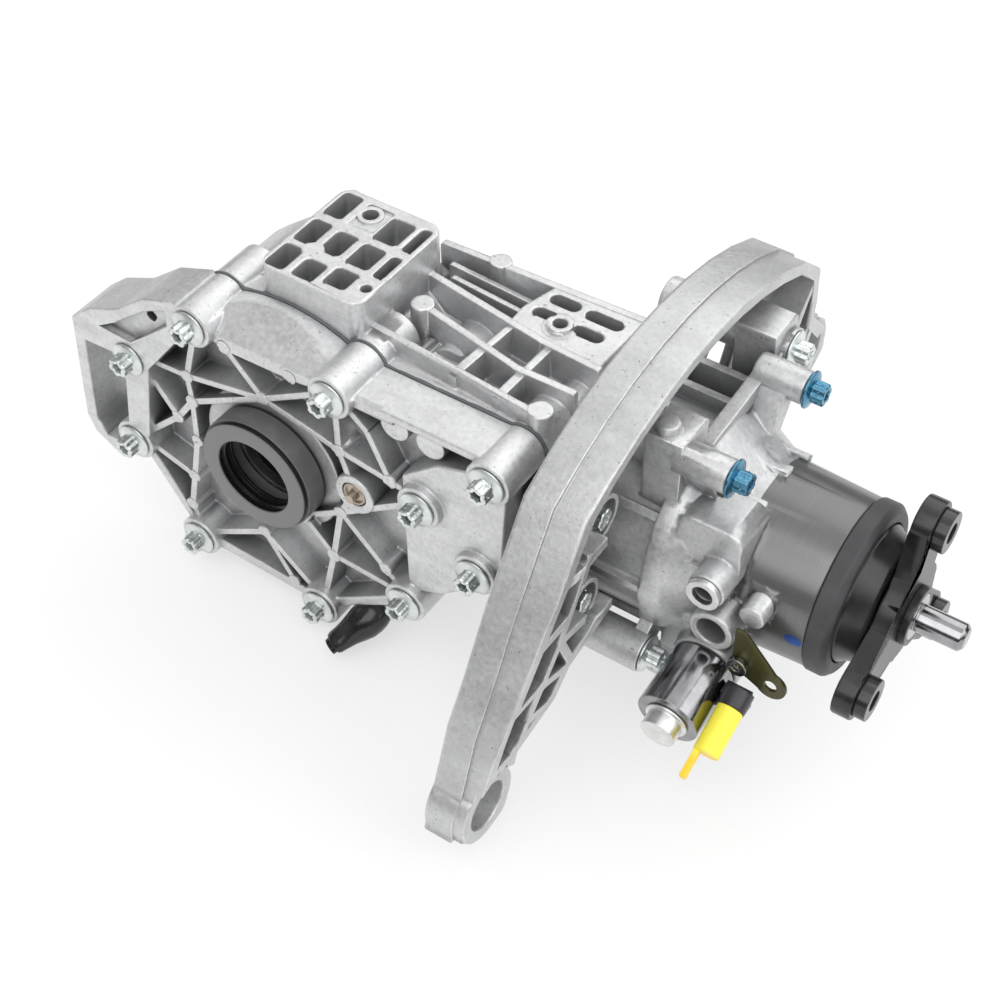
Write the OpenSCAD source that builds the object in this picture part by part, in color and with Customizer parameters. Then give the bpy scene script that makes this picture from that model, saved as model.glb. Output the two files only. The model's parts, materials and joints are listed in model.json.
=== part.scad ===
// Rear differential with built-in clutch, hung from a cast arch.
// Millimetres. X runs forward along the input shaft, Y along the axle, Z up.
// Origin: centre of the left axle seal's outer face.

/* [Axle side] */
// Left seal face to the input shaft axis
left_reach = 101; // [99:1:106]
// Right seal face to the input shaft axis
right_reach = 55; // [54:1:60]
// Cover joint to the input shaft axis
seam_reach = 62; // [61:1:64]
// Outer radius of the ring gear case
case_r = 86; // [85:1:87]
// Radius of the ring gear chamber
chamber_r = 76; // [74:0.5:76.5]
// Thickness of the sealant between cover and housing
gasket_t = 0.8; // [0.5:0.1:1.5]
// Radius of the cover bolt bosses
boss_r = 12; // [11:0.5:12.5]
// Length of the cover bolt bosses, joint to bolt seat
boss_len = 31; // [29:1:33]
// Thickness of the cover's ribs
rib_t = 3.4; // [2.5:0.1:4.5]
// Depth of the pockets between the cover's ribs
pocket_depth = 13; // [8:1:14]
// Thickness of the cover behind the pockets
cover_floor = 7; // [5:0.5:8]

/* [Axle seals and bearings] */
// Outer radius of the dust ring round the left seal
seal_ring_r = 33; // [30:0.5:35]
// Radius of the hole in both axle seals
seal_bore_r = 21.7; // [19:0.1:23]
// Outer radius of the side bearings
side_cup_r = 37; // [36:0.5:38]
// Radius of the case journals in the side bearings
side_journal_r = 22.5; // [21:0.5:23]
// Width of the side bearings
side_bearing_w = 16; // [15:0.5:17]

/* [Gears] */
// Module of the ring gear and the pinion
gear_module = 4; // [3.9:0.05:4.1]
// Teeth of the ring gear
ring_teeth = 33; // [31:1:33]
// Teeth of the pinion
pinion_teeth = 13; // [12:1:14]
// Face width of the ring gear and the pinion
gear_face = 18; // [14:1:19]
// Module of the differential gears
diff_module = 3.6; // [3.4:0.1:3.7]
// Radius of the differential cross pin
cross_pin_r = 7; // [6:0.5:8]
// Radius of the splined hole in the side gears
spline_r = 13; // [11:0.5:14]

/* [Input side] */
// Input shaft axis to the front face of the main housing
housing_front = 152; // [150:1:154]
// Length of the clutch chamber body
clutch_len = 50; // [48:1:52]
// Radius of the clutch housing's rear flange
clutch_r = 64; // [62:0.5:66]
// Outer radius of the clutch chamber body
body_r = 54; // [52:0.5:56]
// Outer radius of the tube at its neck
tube_r = 45.5; // [44:0.5:47]
// Front end of the tube from the axle axis
tube_front = 275; // [270:1:280]
// Front face of the three arm flange from the axle axis
flange_front = 308; // [306:1:312]
// Thickness of the three arm flange
flange_t = 10; // [8:0.5:12]
// Pitch circle diameter of the flange bolts
flange_pcd = 96; // [92:1:100]
// Radius of the flange bolt holes
flange_hole_r = 5.1; // [4:0.1:6]
// Radius of the centring pin
pin_r = 7; // [6:0.5:8]
// Tip of the centring pin from the axle axis
pin_tip = 336; // [330:1:345]

/* [Bracket] */
// Rear face of the cast arch from the axle axis
arch_rear = 158; // [157:1:160]
// Thickness of the band round the arch
band_t = 8.5; // [6:0.5:10]
// Thickness of the arch's web
web_t = 6; // [4:0.5:8]
// Radius of the holes in the bracket's end eyes
eye_hole_r = 13; // [11:0.5:15]
// Radius of the bracket's end eyes
eye_r = 21; // [19:0.5:23]

/* [Hidden] */
$fn = 64;
eps = 0.01;

// Clearances
run_gap = 0.05;
race_gap = 0.12;
free_gap = 0.4;
press_gap = 0.02;
// Cast ribs end this far behind the machined face beside them
step_back = 0.6;

// Places along the axle, from the input shaft axis
seam_y = -seam_reach;
seat_y = seam_y - boss_len;
rib_top_y = seat_y + 4.5;
pocket_y = rib_top_y + pocket_depth;
inner_y = pocket_y + cover_floor;
ring_chamber_end = -12;
case_mid_y = -22;
seal_depth = 16;
case_left = rib_top_y + 6.5;
case_right = right_reach - seal_depth - 1;

// Cover bolts in X and Z, from the axle axis
cover_bolt_points = [[-82.5, 31.5], [-36.5, 74.5], [46, 71.5], [-89.5, -29.5], [-53, -82.5],
    [27.5, -87.5], [84, -48.5], [126.5, -1], [134.5, 65], [95, 26.5]];
bolt_r = 4;
bolt_depth = 18;

// Gear proportions
pressure_angle = 25;
addendum = 0.85;
dedendum = 1.15;
backlash = 0.22;
side_teeth = 14;
planet_teeth = 10;
diff_face = 10;

function involute(a) = tan(a) * 180 / PI - a;
function pitch_angle(own, mate) = atan(own / mate);
function cone_distance(m, own, mate) = m * sqrt(own * own + mate * mate) / 2;

ring_angle = pitch_angle(ring_teeth, pinion_teeth);
pinion_angle = 90 - ring_angle;
pinion_pitch_x = gear_module * ring_teeth / 2;

// Places along the input axis
head_start = pinion_pitch_x + 4;
head_w = 19;
tail_start = 112;
tail_w = 16;
head_r = 36;
tail_r = 31;
head_journal = 17.5;
tail_journal = 15;
clutch_start = housing_front;
clutch_end = clutch_start + clutch_len;
neck_end = clutch_end + 26;

module lift() { translate([0, left_reach, 0]) children(); }

// An extrusion of an X and Z outline between two places along the axle
module slab(y0, y1) {
    translate([0, y1, 0]) rotate([90, 0, 0]) linear_extrude(y1 - y0) children();
}

// An extrusion of a Y and Z outline between two places along the input axis
module plate(x0, x1) {
    translate([x0, 0, 0]) rotate([90, 0, 90]) linear_extrude(x1 - x0) children();
}

module rod_y(y0, y1, r) {
    translate([0, y0, 0]) rotate([-90, 0, 0]) cylinder(h = y1 - y0, r = r);
}

module rod_x(x0, x1, r) {
    translate([x0, 0, 0]) rotate([0, 90, 0]) cylinder(h = x1 - x0, r = r);
}

// Turned shapes: outlines are given as [radius, place along the axis]
module turned_x() { rotate([0, 90, 0]) rotate_extrude() children(); }
module turned_y() { rotate([-90, 0, 0]) rotate_extrude() children(); }

// A straight wall between two X and Z points
module wall_y(a, b, y0, y1, t) {
    d = b - a;
    translate([a[0], y0, a[1]]) rotate([0, -atan2(d[1], d[0]), 0])
        translate([0, 0, -t / 2]) cube([norm(d), y1 - y0, t]);
}

// A straight wall between two X and Y points
module wall_z(a, b, z0, z1, t) {
    d = b - a;
    translate([a[0], a[1], z0]) rotate([0, 0, atan2(d[1], d[0])])
        translate([0, -t / 2, 0]) cube([norm(d), t, z1 - z0]);
}

// A straight wall between two Y and Z points
module wall_x(a, b, x0, x1, t) {
    d = b - a;
    translate([x0, a[0], a[1]]) rotate([atan2(d[1], d[0]), 0, 0])
        translate([0, 0, -t / 2]) cube([x1 - x0, norm(d), t]);
}

module round_rect(w, d, r) {
    translate([r, 0]) square([w - 2 * r, d]);
    translate([0, r]) square([w, d - 2 * r]);
    for (x = [r, w - r]) for (y = [r, d - r]) translate([x, y]) circle(r = r, $fn = 32);
}

// A flanged bolt with a six lobed head, seated at z = 0 and pointing down
module lobed_bolt(r, shank, head_r, head_h) {
    cylinder(h = 1.6, r = washer_r);
    difference() {
        cylinder(h = head_h, r = head_r);
        for (k = [0:5]) rotate(60 * k) translate([head_r * 1.12, 0, 1.6])
            cylinder(h = head_h, r = head_r * 0.36, $fn = 24);
        translate([0, 0, head_h - 1.5]) cylinder(h = 2, r = head_r * 0.5);
    }
    translate([0, 0, -shank]) cylinder(h = shank + eps, r = r - press_gap);
}

// Bevel gear teeth: the gear's axis is Z and its pitch cone's apex is the origin
module bevel_teeth(m, teeth, angle, dist, face, phase) {
    rv = m * teeth / (2 * cos(angle));
    zv = teeth / cos(angle);
    base = rv * cos(pressure_angle);
    root = rv - dedendum * m;
    tip = rv + addendum * m;
    half = 90 / zv - backlash / rv * 90 / PI;
    sink = 0.6 * m;
    steps = 3;
    first = max(base, root);
    radii = concat([root - sink, root], [for (i = [0:steps]) first + (tip - first) * i / steps]);
    turn = [for (p = radii) half + involute(pressure_angle) - involute(p > base ? acos(base / p) : 0)];
    n = len(radii);
    flank = [for (i = [0:n - 1]) [radii[i] * sin(turn[i]), radii[i] * cos(turn[i]) - rv]];
    outline = concat([for (i = [0:n - 1]) flank[i]], [for (i = [n - 1:-1:0]) [-flank[i][0], flank[i][1]]]);
    count = len(outline);
    e = [sin(angle), 0, cos(angle)];
    v = [cos(angle), 0, -sin(angle)];
    inner = (dist - face) / dist;
    big = [for (p = outline) dist * e + [0, p[0], 0] + p[1] * v];
    points = concat(big, inner * big);
    faces = concat([[for (i = [0:count - 1]) i]], [[for (i = [count - 1:-1:0]) count + i]],
        [for (i = [0:count - 1]) [(i + 1) % count, i, count + i, count + (i + 1) % count]]);
    for (k = [0:teeth - 1]) rotate((k + phase) * 360 / teeth) polyhedron(points, faces);
}

// Root cone body of a bevel gear: outline of the blank, closed by a back at the given depth
module bevel_blank(m, angle, dist, face, bore, back_r, back_z) {
    d = dedendum * m;
    big = [dist * sin(angle) - d * cos(angle), dist * cos(angle) + d * sin(angle)];
    inner = (dist - face) / dist;
    rotate_extrude() polygon([inner * big, big, [back_r, back_z], [bore, back_z],
        [bore, inner * big[1]]]);
}

// Tapered roller bearing. Its axis is Z, its wide end is up, and it fills z = 0 to w.
taper = 14;
function race_mid(bore, outer) = (bore + outer) / 2;
function roller_r(bore, outer) = (outer - bore) * 0.19;
function roller_len(w) = w * 0.62;
function race_count(bore, outer) = floor(180 / asin((roller_r(bore, outer) + 0.9) / race_mid(bore, outer)));

module bearing_cup(bore, outer, w) {
    mid = race_mid(bore, outer);
    off = (roller_r(bore, outer) + race_gap) / cos(taper);
    rotate_extrude() polygon([[outer, 0], [outer, w], [mid + off + tan(taper) * w / 2, w],
        [mid + off - tan(taper) * w / 2, 0]]);
}

module bearing_cone(bore, outer, w) {
    mid = race_mid(bore, outer);
    off = (roller_r(bore, outer) + race_gap) / cos(taper);
    rotate_extrude() polygon([[bore, 0], [mid - off - tan(taper) * w / 2, 0],
        [mid - off + tan(taper) * w / 2, w], [bore, w]]);
}

module roller_places(bore, outer, w) {
    n = race_count(bore, outer);
    for (k = [0:n - 1]) rotate(360 * k / n) translate([race_mid(bore, outer), 0, w / 2])
        rotate([0, taper, 0]) children();
}

module bearing_rollers(bore, outer, w) {
    len = roller_len(w);
    roller_places(bore, outer, w) translate([0, 0, -len / 2])
        cylinder(h = len, r = roller_r(bore, outer), $fn = 32);
}

module bearing_cage(bore, outer, w) {
    mid = race_mid(bore, outer);
    span = w * 0.84;
    t = roller_r(bore, outer) * 0.42;
    lean = tan(taper) * span / 2;
    difference() {
        rotate_extrude() polygon([[mid - lean - t, (w - span) / 2], [mid - lean + t, (w - span) / 2],
            [mid + lean + t, (w + span) / 2], [mid + lean - t, (w + span) / 2]]);
        roller_places(bore, outer, w) translate([0, 0, -roller_len(w) / 2 - free_gap])
            cylinder(h = roller_len(w) + 2 * free_gap, r = roller_r(bore, outer) + 0.3, $fn = 32);
    }
}

module head_place() { translate([head_start, 0, 0]) rotate([0, 90, 0]) mirror([0, 0, 1]) translate([0, 0, -head_w]) children(); }
module tail_place() { translate([tail_start, 0, 0]) rotate([0, 90, 0]) children(); }
module side_places() {
    for (e = [[1, case_right], [-1, case_left]])
        translate([0, e[1], 0]) rotate([-90 * e[0], 0, 0]) mirror([0, 0, 1]) children();
}

// An outline moved inwards by a distance, for points that run clockwise
function inward(a, b) = let (d = b - a) [d[1], -d[0]] / norm(d);
function inset(pts, t) = [for (i = [0:len(pts) - 1]) let (n = len(pts), p = pts[i],
    u = inward(pts[(i + n - 1) % n], p), w = inward(p, pts[(i + 1) % n])) p + t * (u + w) / (1 + u * w)];

// Outline shared by the cover, the gasket and the housing at their joint
nose_top = 75;
nose_front = 143;
// A point beside a bolt, seen from the axle
function beside(p, w) = p + w * [-p[1], p[0]] / norm(p);
side_w = boss_r - 1.5;
joint_points = let (b = cover_bolt_points) concat([beside(b[2], side_w), [58, nose_top], [nose_front - 8, nose_top],
    [nose_front, nose_top - 10], [nose_front - 5, -6], [nose_front - 14, -12], [107, -31]],
    [for (i = [6, 5, 4, 3, 0]) each [beside(b[i], side_w), beside(b[i], -side_w)]],
    [[-57, 54], beside(b[1], side_w), beside(b[1], -side_w), [4, 78]]);

module joint_outline(d) {
    circle(r = case_r - d);
    polygon(inset(joint_points, d));
}

module joint_bosses(r) {
    for (p = cover_bolt_points) translate(p) circle(r = r);
}

// Outline of the pad's plan and its pockets
pad_x = -17;
pad_y = seam_y;
pad_w = 59;
pad_d = 71;
pad_top = 102;
pad_boss = [5.9, -2.9];
pad_corner = [36.8, -48.2];

// Pad pockets: corner in X and Y, width and depth
pad_pockets = [[-15, -60, 11.5, 18.5], [-15, -37.5, 11.5, 18], [-15, -14.5, 11.5, 20], [0.5, -59.5, 12, 14.5],
    [0.5, -37.5, 12, 17], [16.5, -56, 13, 13.5], [16.5, -38.5, 13.5, 17], [16.5, -17, 13.5, 19],
    [33.5, -40, 6, 18], [33.5, -17, 6, 20]];

// Deck rails and cross walls in X and Y
deck_top = 84;
insert_place = [115.4, -3.3];
deck_rails = [[[33, 18.5], [147, 22.8]], [[36, -3.7], [114, -16.1]], [[113, -16], [147, -18]],
    [[52, -25.5], [114, -38.2]], [[113, -38.2], [146, -37.7]], [[36, -50], [142, -59]]];
deck_cross = [[[91.5, -58], [94.5, -15]], [[116.3, -59], [117.6, -17]], [[44, 9.5], [95, 6.5]], [[50, 2], [95, -1.5]]];
deck_slots = [[98, -2.5, 13, 7], [100, 9.8, 16, 7], [121, -3.2, 15.5, 7], [120, 9.2, 20, 7]];

module main_housing() {
    color("lightsteelblue") lift() difference() {
        union() {
            housing_body();
            housing_top();
            housing_rear();
            housing_front_face();
        }
        housing_chambers();
        housing_pockets();
    }
}

module housing_body() {
    slab(seam_y, seam_y + 12) joint_outline(0);
    slab(seam_y, seam_y + 26) joint_bosses(boss_r);
    turned_y() polygon([[0, seam_y + 4], [case_r - 1, seam_y + 4], [case_r - 1, 2], [82, 14], [60, 22], [47, 30],
        [44, right_reach], [0, right_reach]]);
    slab(seam_y + 4, 24) polygon([[30, 66], [housing_front - 8, 66], [housing_front - 8, -8],
        [126, -12], [100, -44], [60, -56], [30, -40]]);
    rod_x(60, housing_front - 2, 46);
}

module housing_top() {
    translate([pad_x, pad_y, 50]) linear_extrude(pad_top - 50) round_rect(pad_w, pad_d, 8);
    for (r = deck_rails) wall_z(r[0], r[1], 50, deck_top, 3.6);
    for (i = [0:3]) wall_z(deck_cross[i][0], deck_cross[i][1], 50, deck_top - 1.5 - i / 2, i < 2 ? 4.5 : 2.6);
    translate([0, 0, 60]) linear_extrude(deck_top - 60.5)
        polygon([[93.4, -14], [92.6, 3], [97, 19.5], [146.4, 21.4], [146.4, -16.5], [114, -14.8]]);
    translate([insert_place[0], insert_place[1], 60]) cylinder(h = deck_top - 60.2, r = 8.6);
    translate([insert_place[0], insert_place[1], 60]) cylinder(h = deck_top - 57.5, r = 6.5);
    for (p = [[52.2, -25.5, 6], [65.8, 21.2, 5.6], [139, -56, 6.2]]) translate([p[0], p[1], 55])
        cylinder(h = deck_top - 54.2, r = p[2]);
    translate([77, 0, 58]) rod_y(-36, -9, 15);
    translate([137, 0, 61]) rod_y(-37, -17.5, 11);
    translate([62, 0, 60]) rod_y(-52, -30, 10);
    translate([104, 0, 62]) rod_y(-56, -52.5, 9);
}

module housing_rear() {
    for (a = [195:20:335]) rotate([0, -a, 0]) translate([case_r - 8, seam_y + 6, -2.5]) cube([12, 64, 5]);
    for (a = [60:30:330]) rotate([0, -a, 0]) translate([40, 4, -2.5]) cube([24, 38, 5]);
    translate([0, -30, -94]) cylinder(h = 20, r = 15);
}

module housing_front_face() {
    rod_x(housing_front - 10, housing_front, 66);
    for (p = housing_bolt_points) translate([0, p[0], p[1]]) rod_x(housing_front - 17, housing_front, 11);
    for (p = lug_points) {
        translate([0, p[0], p[1]]) rod_x(lug_start, arch_rear, 12);
        wall_x([0, 0], p, lug_start, housing_front - step_back, 20);
    }
    for (p = housing_bolt_points) wall_x([0, 0], p, housing_front - 10.6, housing_front - 2 * step_back, 20);
}

lug_points = [[-80, 2], [-66, 46], [78, -4], [72, -32]];
lug_start = arch_rear - 13;
lug_head_seat = arch_rear + 8 + web_t;

module housing_chambers() {
    rod_y(inner_y - 1, ring_chamber_end, chamber_r);
    rod_y(ring_chamber_end - eps, case_right - side_bearing_w + eps, 47);
    rod_y(0, case_right, side_cup_r + press_gap);
    rod_y(0, right_reach - seal_depth, 30);
    rod_y(0, right_reach + 5, 25);
    rod_y(right_reach - seal_depth + 1, right_reach + 5, 31 + press_gap);
    rod_x(30, head_start, 34);
    rod_x(head_start - eps, head_start + head_w, head_r + press_gap);
    rod_x(head_start, tail_start + 1, 28);
    rod_x(tail_start, housing_front + 5, tail_r + press_gap);
    for (p = cover_bolt_points) translate([p[0], 0, p[1]]) rod_y(seam_y - 1, seam_y + bolt_depth, bolt_r);
    for (p = lug_points) translate([0, p[0], p[1]]) rod_x(lug_start - 1, arch_rear + 1, bolt_r);
    for (p = housing_bolt_points) translate([0, p[0], p[1]]) rod_x(housing_front - 14.5, housing_front + 1, bolt_r);
    translate([0, -30, -95]) cylinder(h = 40, r = 8);
}

module housing_pockets() {
    translate([0, 0, pad_top - 18]) difference() {
        for (c = pad_pockets) translate([c[0], c[1], 0]) linear_extrude(19) round_rect(c[2], c[3], 2.5);
        translate([-1.3, -39.2, -1]) rotate(22.5) cylinder(h = 21, r = 6.2, $fn = 8);
    }
    translate([pad_boss[0], pad_boss[1], pad_top - 22]) cylinder(h = 23, r = 4.2);
    translate([pad_boss[0], pad_boss[1], pad_top - 1.2]) difference() {
        translate([-5.4, -11, 0]) cube([15, 18, 2]);
        translate([0, 0, -1]) cylinder(h = 4, r = 6.6);
    }
    translate([pad_corner[0], pad_corner[1], pad_top - 14]) cylinder(h = 15, r = 2.6);
    translate([insert_place[0], insert_place[1], 60]) cylinder(h = 30, r = 3.4);
    for (c = deck_slots) translate([c[0], c[1], 64]) linear_extrude(24) round_rect(c[2], c[3], 3.4);
    translate([97, -32.5, 60]) linear_extrude(30) round_rect(15.5, 11, 2);
    translate([98, -52, 60]) linear_extrude(30) round_rect(14, 10.5, 2);
}

module side_cover() {
    color("silver") lift() difference() {
        union() {
            cover_body();
            slab(seat_y, seam_y - gasket_t) joint_bosses(boss_r);
            cover_ribs();
            ear_frame();
            rod_y(rib_top_y + 4, inner_y + 2, side_cup_r + 5);
            translate([54, 0, 9]) rod_y(rib_top_y - 1, inner_y, 11.5);
            for (p = nose_bumps) translate([p[0], 0, p[1]]) rod_y(rib_top_y + 3, pocket_y + 1, 8);
        }
        rod_y(case_left, 0, side_cup_r + press_gap);
        rod_y(rib_top_y, 0, 30);
        for (p = cover_bolt_points) translate([p[0], 0, p[1]]) rod_y(seat_y - 1, seam_y + 1, bolt_r + 0.4);
        translate([54, 0, 9]) rod_y(seat_y, inner_y + 1, 7);
    }
}

nose_bumps = [[78, 64], [98, 63]];
nose_panel = [[84, -44], [84, 40], [104, 56], [134, 66], [142, 60], [138, -4], [129, -11], [107, -29], [95, -44]];

// The cover's shell: a flat panel at the front, pockets elsewhere, and a bevel over the top
module cover_body() {
    difference() {
        slab(rib_top_y, seam_y - gasket_t) joint_outline(0);
        translate([-62, rib_top_y, case_r - 13]) rotate([36, 0, 0]) cube([135, 60, 40]);
        slab(rib_top_y - 1, pocket_y) difference() {
            joint_outline(5);
            translate([-62, case_r - 17.5]) square([142, 40]);
            polygon(nose_panel);
        }
        slab(inner_y, seam_y + 1) circle(r = chamber_r - 1);
        slab(rib_top_y + 5, seam_y + 1) intersection() {
            joint_outline(7);
            polygon(inset(nose_panel, 6));
        }
    }
}

// Rib crossings in X and Z
rib_nodes = [[-48, 34], [-47, 17], [-48, -11], [-54, -40], [-59, -64], [-59, 0], [1, 44], [-20, 67],
    [20, 68], [46, 34], [76, 30], [44, -10], [37, -46], [70, -36], [-9, -56], [8, -84]];

module cover_ribs() {
    b = cover_bolt_points;
    n = rib_nodes;
    pairs = [[b[0], n[0]], [b[0], n[5]], [b[3], n[5]], [b[3], n[3]], [b[3], b[4]],
        [b[1], n[0]], [n[0], n[1]], [n[1], n[2]], [n[2], n[3]], [n[3], n[4]], [n[4], b[4]], [n[5], n[1]],
        [n[1], n[6]], [n[0], n[6]], [n[7], n[6]], [b[1], n[7]], [n[7], n[8]], [n[8], b[2]], [n[6], b[2]],
        [n[6], n[9]], [n[9], n[10]], [n[10], b[9]], [b[2], n[9]], [b[2], [64, 56]], [[64, 56], n[10]],
        [b[0], b[3]], [b[4], b[5]], [b[5], b[6]], [n[9], [54, 9]], [[54, 9], n[11]],
        [n[11], b[9]], [n[11], n[13]], [n[11], n[12]], [n[11], [26, -22]], [[22, -30], n[12]],
        [n[12], b[6]], [n[12], b[5]], [b[4], n[14]], [n[14], b[5]], [n[15], n[14]], [n[13], b[6]]];
    for (p = pairs) wall_y(p[0], p[1], rib_top_y, pocket_y + eps, rib_t);
    for (p = n) translate([p[0], 0, p[1]]) rod_y(rib_top_y - 0.4, pocket_y + eps, 3.8);
}

module ear_frame() {
    post = [[-119, 42], [-106, 53], [-86, 62], [-66, 78], [-45, 86], [-36, 74], [-70, 30], [-78, -20],
        [-89, -41], [-103, -48], [-119, -38], [-123, -28]];
    difference() {
        slab(seat_y, seam_y - gasket_t) polygon(post);
        slab(seat_y - 1, seam_y + 1) polygon([[-113, 29], [-116, -27], [-110, -36], [-98, -36], [-93, -26], [-88, 14], [-93, 30]]);
        slab(seat_y - 1, seat_y + 5) polygon([[-100, 45], [-86, 54], [-66, 70], [-52, 77], [-52, 68], [-78, 44]]);
        translate([-66, 0, 64]) rod_y(seat_y - 1, seam_y + 1, 3);
    }
}

module cover_gasket() {
    color("black") lift() difference() {
        union() {
            slab(seam_y - gasket_t, seam_y) joint_outline(0);
            slab(seam_y - gasket_t, seam_y) joint_bosses(boss_r);
        }
        rod_y(seam_y - 2, seam_y + 1, chamber_r);
        for (p = cover_bolt_points) translate([p[0], 0, p[1]]) rod_y(seam_y - 2, seam_y + 1, bolt_r + 0.4);
    }
}

module cover_bolts() {
    color("gainsboro") lift() for (p = cover_bolt_points)
        translate([p[0], seat_y, p[1]]) rotate([90, 0, 0]) lobed_bolt(bolt_r, boss_len + 14, 5.6, 9);
}

module left_seal() {
    color("dimgray") lift() turned_y() polygon([[seal_bore_r, -left_reach], [seal_ring_r, -left_reach],
        [seal_ring_r, -left_reach + 3], [seal_ring_r - 2, -left_reach + 3], [seal_ring_r - 2, -left_reach + 5],
        [seal_ring_r - 0.6, -left_reach + 5], [seal_ring_r - 0.6, rib_top_y + 3], [29.9, rib_top_y + 3], [29.9, rib_top_y + 6], [25, rib_top_y + 6],
        [25, -left_reach + 8], [seal_bore_r, -left_reach + 8]]);
}

module right_seal() {
    color("dimgray") lift() turned_y() polygon([[seal_bore_r, right_reach], [31, right_reach],
        [31, right_reach - seal_depth + 2], [25, right_reach - seal_depth + 2], [25, right_reach - 8],
        [seal_bore_r, right_reach - 8]]);
}

module level_plug() {
    color("silver") lift() translate([54, 0, 9]) difference() {
        rod_y(rib_top_y + 3, inner_y - 1, 7 - press_gap);
        rod_y(rib_top_y, rib_top_y + 8, 2.5);
    }
}

module drain_plug() {
    color("silver") lift() translate([0, -30, -94]) difference() {
        union() {
            translate([0, 0, -4]) cylinder(h = 4, r = 11);
            cylinder(h = 14, r = 8 - press_gap);
        }
        translate([0, 0, -5]) cylinder(h = 8, r = 4, $fn = 6);
    }
}

module breather_hose() {
    color("black") lift() translate([case_r * 0.7, -80, -case_r * 0.93]) rotate([128, 0, -12]) difference() {
        cylinder(h = 27, r = 9);
        translate([0, 0, 8]) cylinder(h = 40, r = 6);
    }
}

// Outline of the bracket in Y and Z
arch_centre = [8, -108];
arch_radius = 216;
arch_outline = concat([[-182, -74], [-161, -18], [-148, 2], [-130, 34], [-114, 58]],
    [for (a = [120:-6.25:60]) arch_centre + arch_radius * [cos(a), sin(a)]],
    [[124, 68], [127, 34], [152, 6], [168, -2], [168, -26], [132, -28], [118, -22], [104, -32], [88, -47], [63, -47],
    [56, -30], [0, -14], [-66, -14], [-99, -22], [-110, -36], [-140, -43], [-146, -84]]);

function arch_top(y) = arch_centre[1] + sqrt(arch_radius * arch_radius - pow(y - arch_centre[0], 2));
arch_window = [[-46, 44], [-54, arch_top(-54) - 27], [-36, arch_top(-36) - 16.5], [8, arch_top(8) - 13],
    [50, arch_top(50) - 14], [80, arch_top(80) - 14.5], [84, arch_top(84) - 28], [72, 48], [60, 24]];

eye_left = [-160, -66];
eye_right = [150, -14];
eye_len = 22;

module bracket_outline(inward) {
    polygon(inward > 0 ? inset(arch_outline, inward) : arch_outline);
    translate(eye_left) circle(r = eye_r - inward / 2);
    translate(eye_right) circle(r = eye_r - 1 - inward / 2);
}

module mount_bracket() {
    front = arch_rear + 32;
    color("lightgray") lift() difference() {
        union() {
            intersection() {
                union() {
                    difference() {
                        plate(arch_rear, front) bracket_outline(0);
                        plate(arch_rear - 1, front + 1) polygon(inset(arch_outline, band_t));
                    }
                    plate(arch_rear + 8, arch_rear + 8 + web_t) bracket_outline(0);
                    bracket_ribs(front);
                }
                union() {
                    plate(arch_rear, arch_rear + 16) bracket_outline(0);
                    plate(arch_rear + 15, front) bracket_outline(1.4);
                }
            }
            for (p = lug_points) translate([0, p[0], p[1]]) rod_x(arch_rear, arch_rear + 22, 12.5);
        }
        rod_x(arch_rear - 1, front + 1, clutch_r + 1);
        plate(arch_rear - 1, front + 1) polygon(arch_window);
        for (p = lug_points) translate([0, p[0], p[1]]) {
            rod_x(arch_rear - 1, front, bolt_r + 0.4);
            rod_x(lug_head_seat, front + 1, washer_r + 0.9);
        }
        for (e = [eye_left, eye_right]) translate([0, e[0], e[1]]) {
            rod_x(arch_rear - 1, front + 1, eye_hole_r);
            rod_x(arch_rear + eye_len, front + 1, eye_r + 2);
        }
        translate([0, 0, -180]) rotate([0, 4.2, 0]) translate([arch_rear + 15, -260, -60]) cube([60, 520, 420]);
    }
}

module bracket_ribs(front) {
    spokes = [[[-92, 52], [-112, 10]], [[-112, 10], [-134, -26]], [[-134, -26], [-150, -58]],
        [[-168, -38], [-141, -40]], [[-155, -8], [-124, -10]], [[-138, 22], [-106, 22]], [[-118, 51], [-94, 45]],
        [[-134, -26], [-110, -34]], [[-124, -10], [-98, -20]], [[-112, 10], [-98, -20]], [[-112, 10], [-80, 2]],
        [[-94, 45], [-66, 46]], [[120, 64], [100, 40]], [[120, 64], [78, -4]],
        [[126, 30], [78, -4]], [[126, 30], [112, -26]]];
    for (i = [0:len(spokes) - 1]) wall_x(spokes[i][0], spokes[i][1], arch_rear + 2 + 0.2 * i, front - step_back * (1 + i % 3), 5);
    for (e = [eye_left, eye_right]) translate([0, e[0], e[1]])
        rod_x(arch_rear + step_back, front - step_back, eye_hole_r + 5);
}

module bracket_bolts() {
    color("gainsboro") lift() for (p = lug_points)
        translate([lug_head_seat, p[0], p[1]]) rotate([0, 90, 0]) lobed_bolt(bolt_r, 26, 5.6, 9);
}

// Clutch housing bolts and tube bolts in Y and Z
housing_bolt_points = [[-20, 56], [65, 64], [46, -53], [6, -72], [-62, -36]];
housing_bolt_seat = clutch_end + 3;
washer_r = 9.6;
tube_bolt_points = [[-32, 69.5], [42, 66], [30, -68], [-40, -64]];
tube_bolt_seat = clutch_end + 23;

module clutch_housing() {
    color("silver") lift() difference() {
        union() {
            turned_x() polygon([[0, clutch_start], [clutch_r, clutch_start], [clutch_r, clutch_start + 9],
                [body_r, clutch_start + 13], [body_r, clutch_end - 6], [clutch_r - 5, clutch_end - 6],
                [clutch_r - 5, clutch_end + 2], [tube_r + 9, clutch_end + 10], [tube_r + 3, clutch_end + 22],
                [tube_r, neck_end], [tube_r - 2, tube_front], [0, tube_front]]);
            clutch_lugs();
            clutch_fins();
            valve_block();
        }
        clutch_chambers();
    }
}

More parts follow.
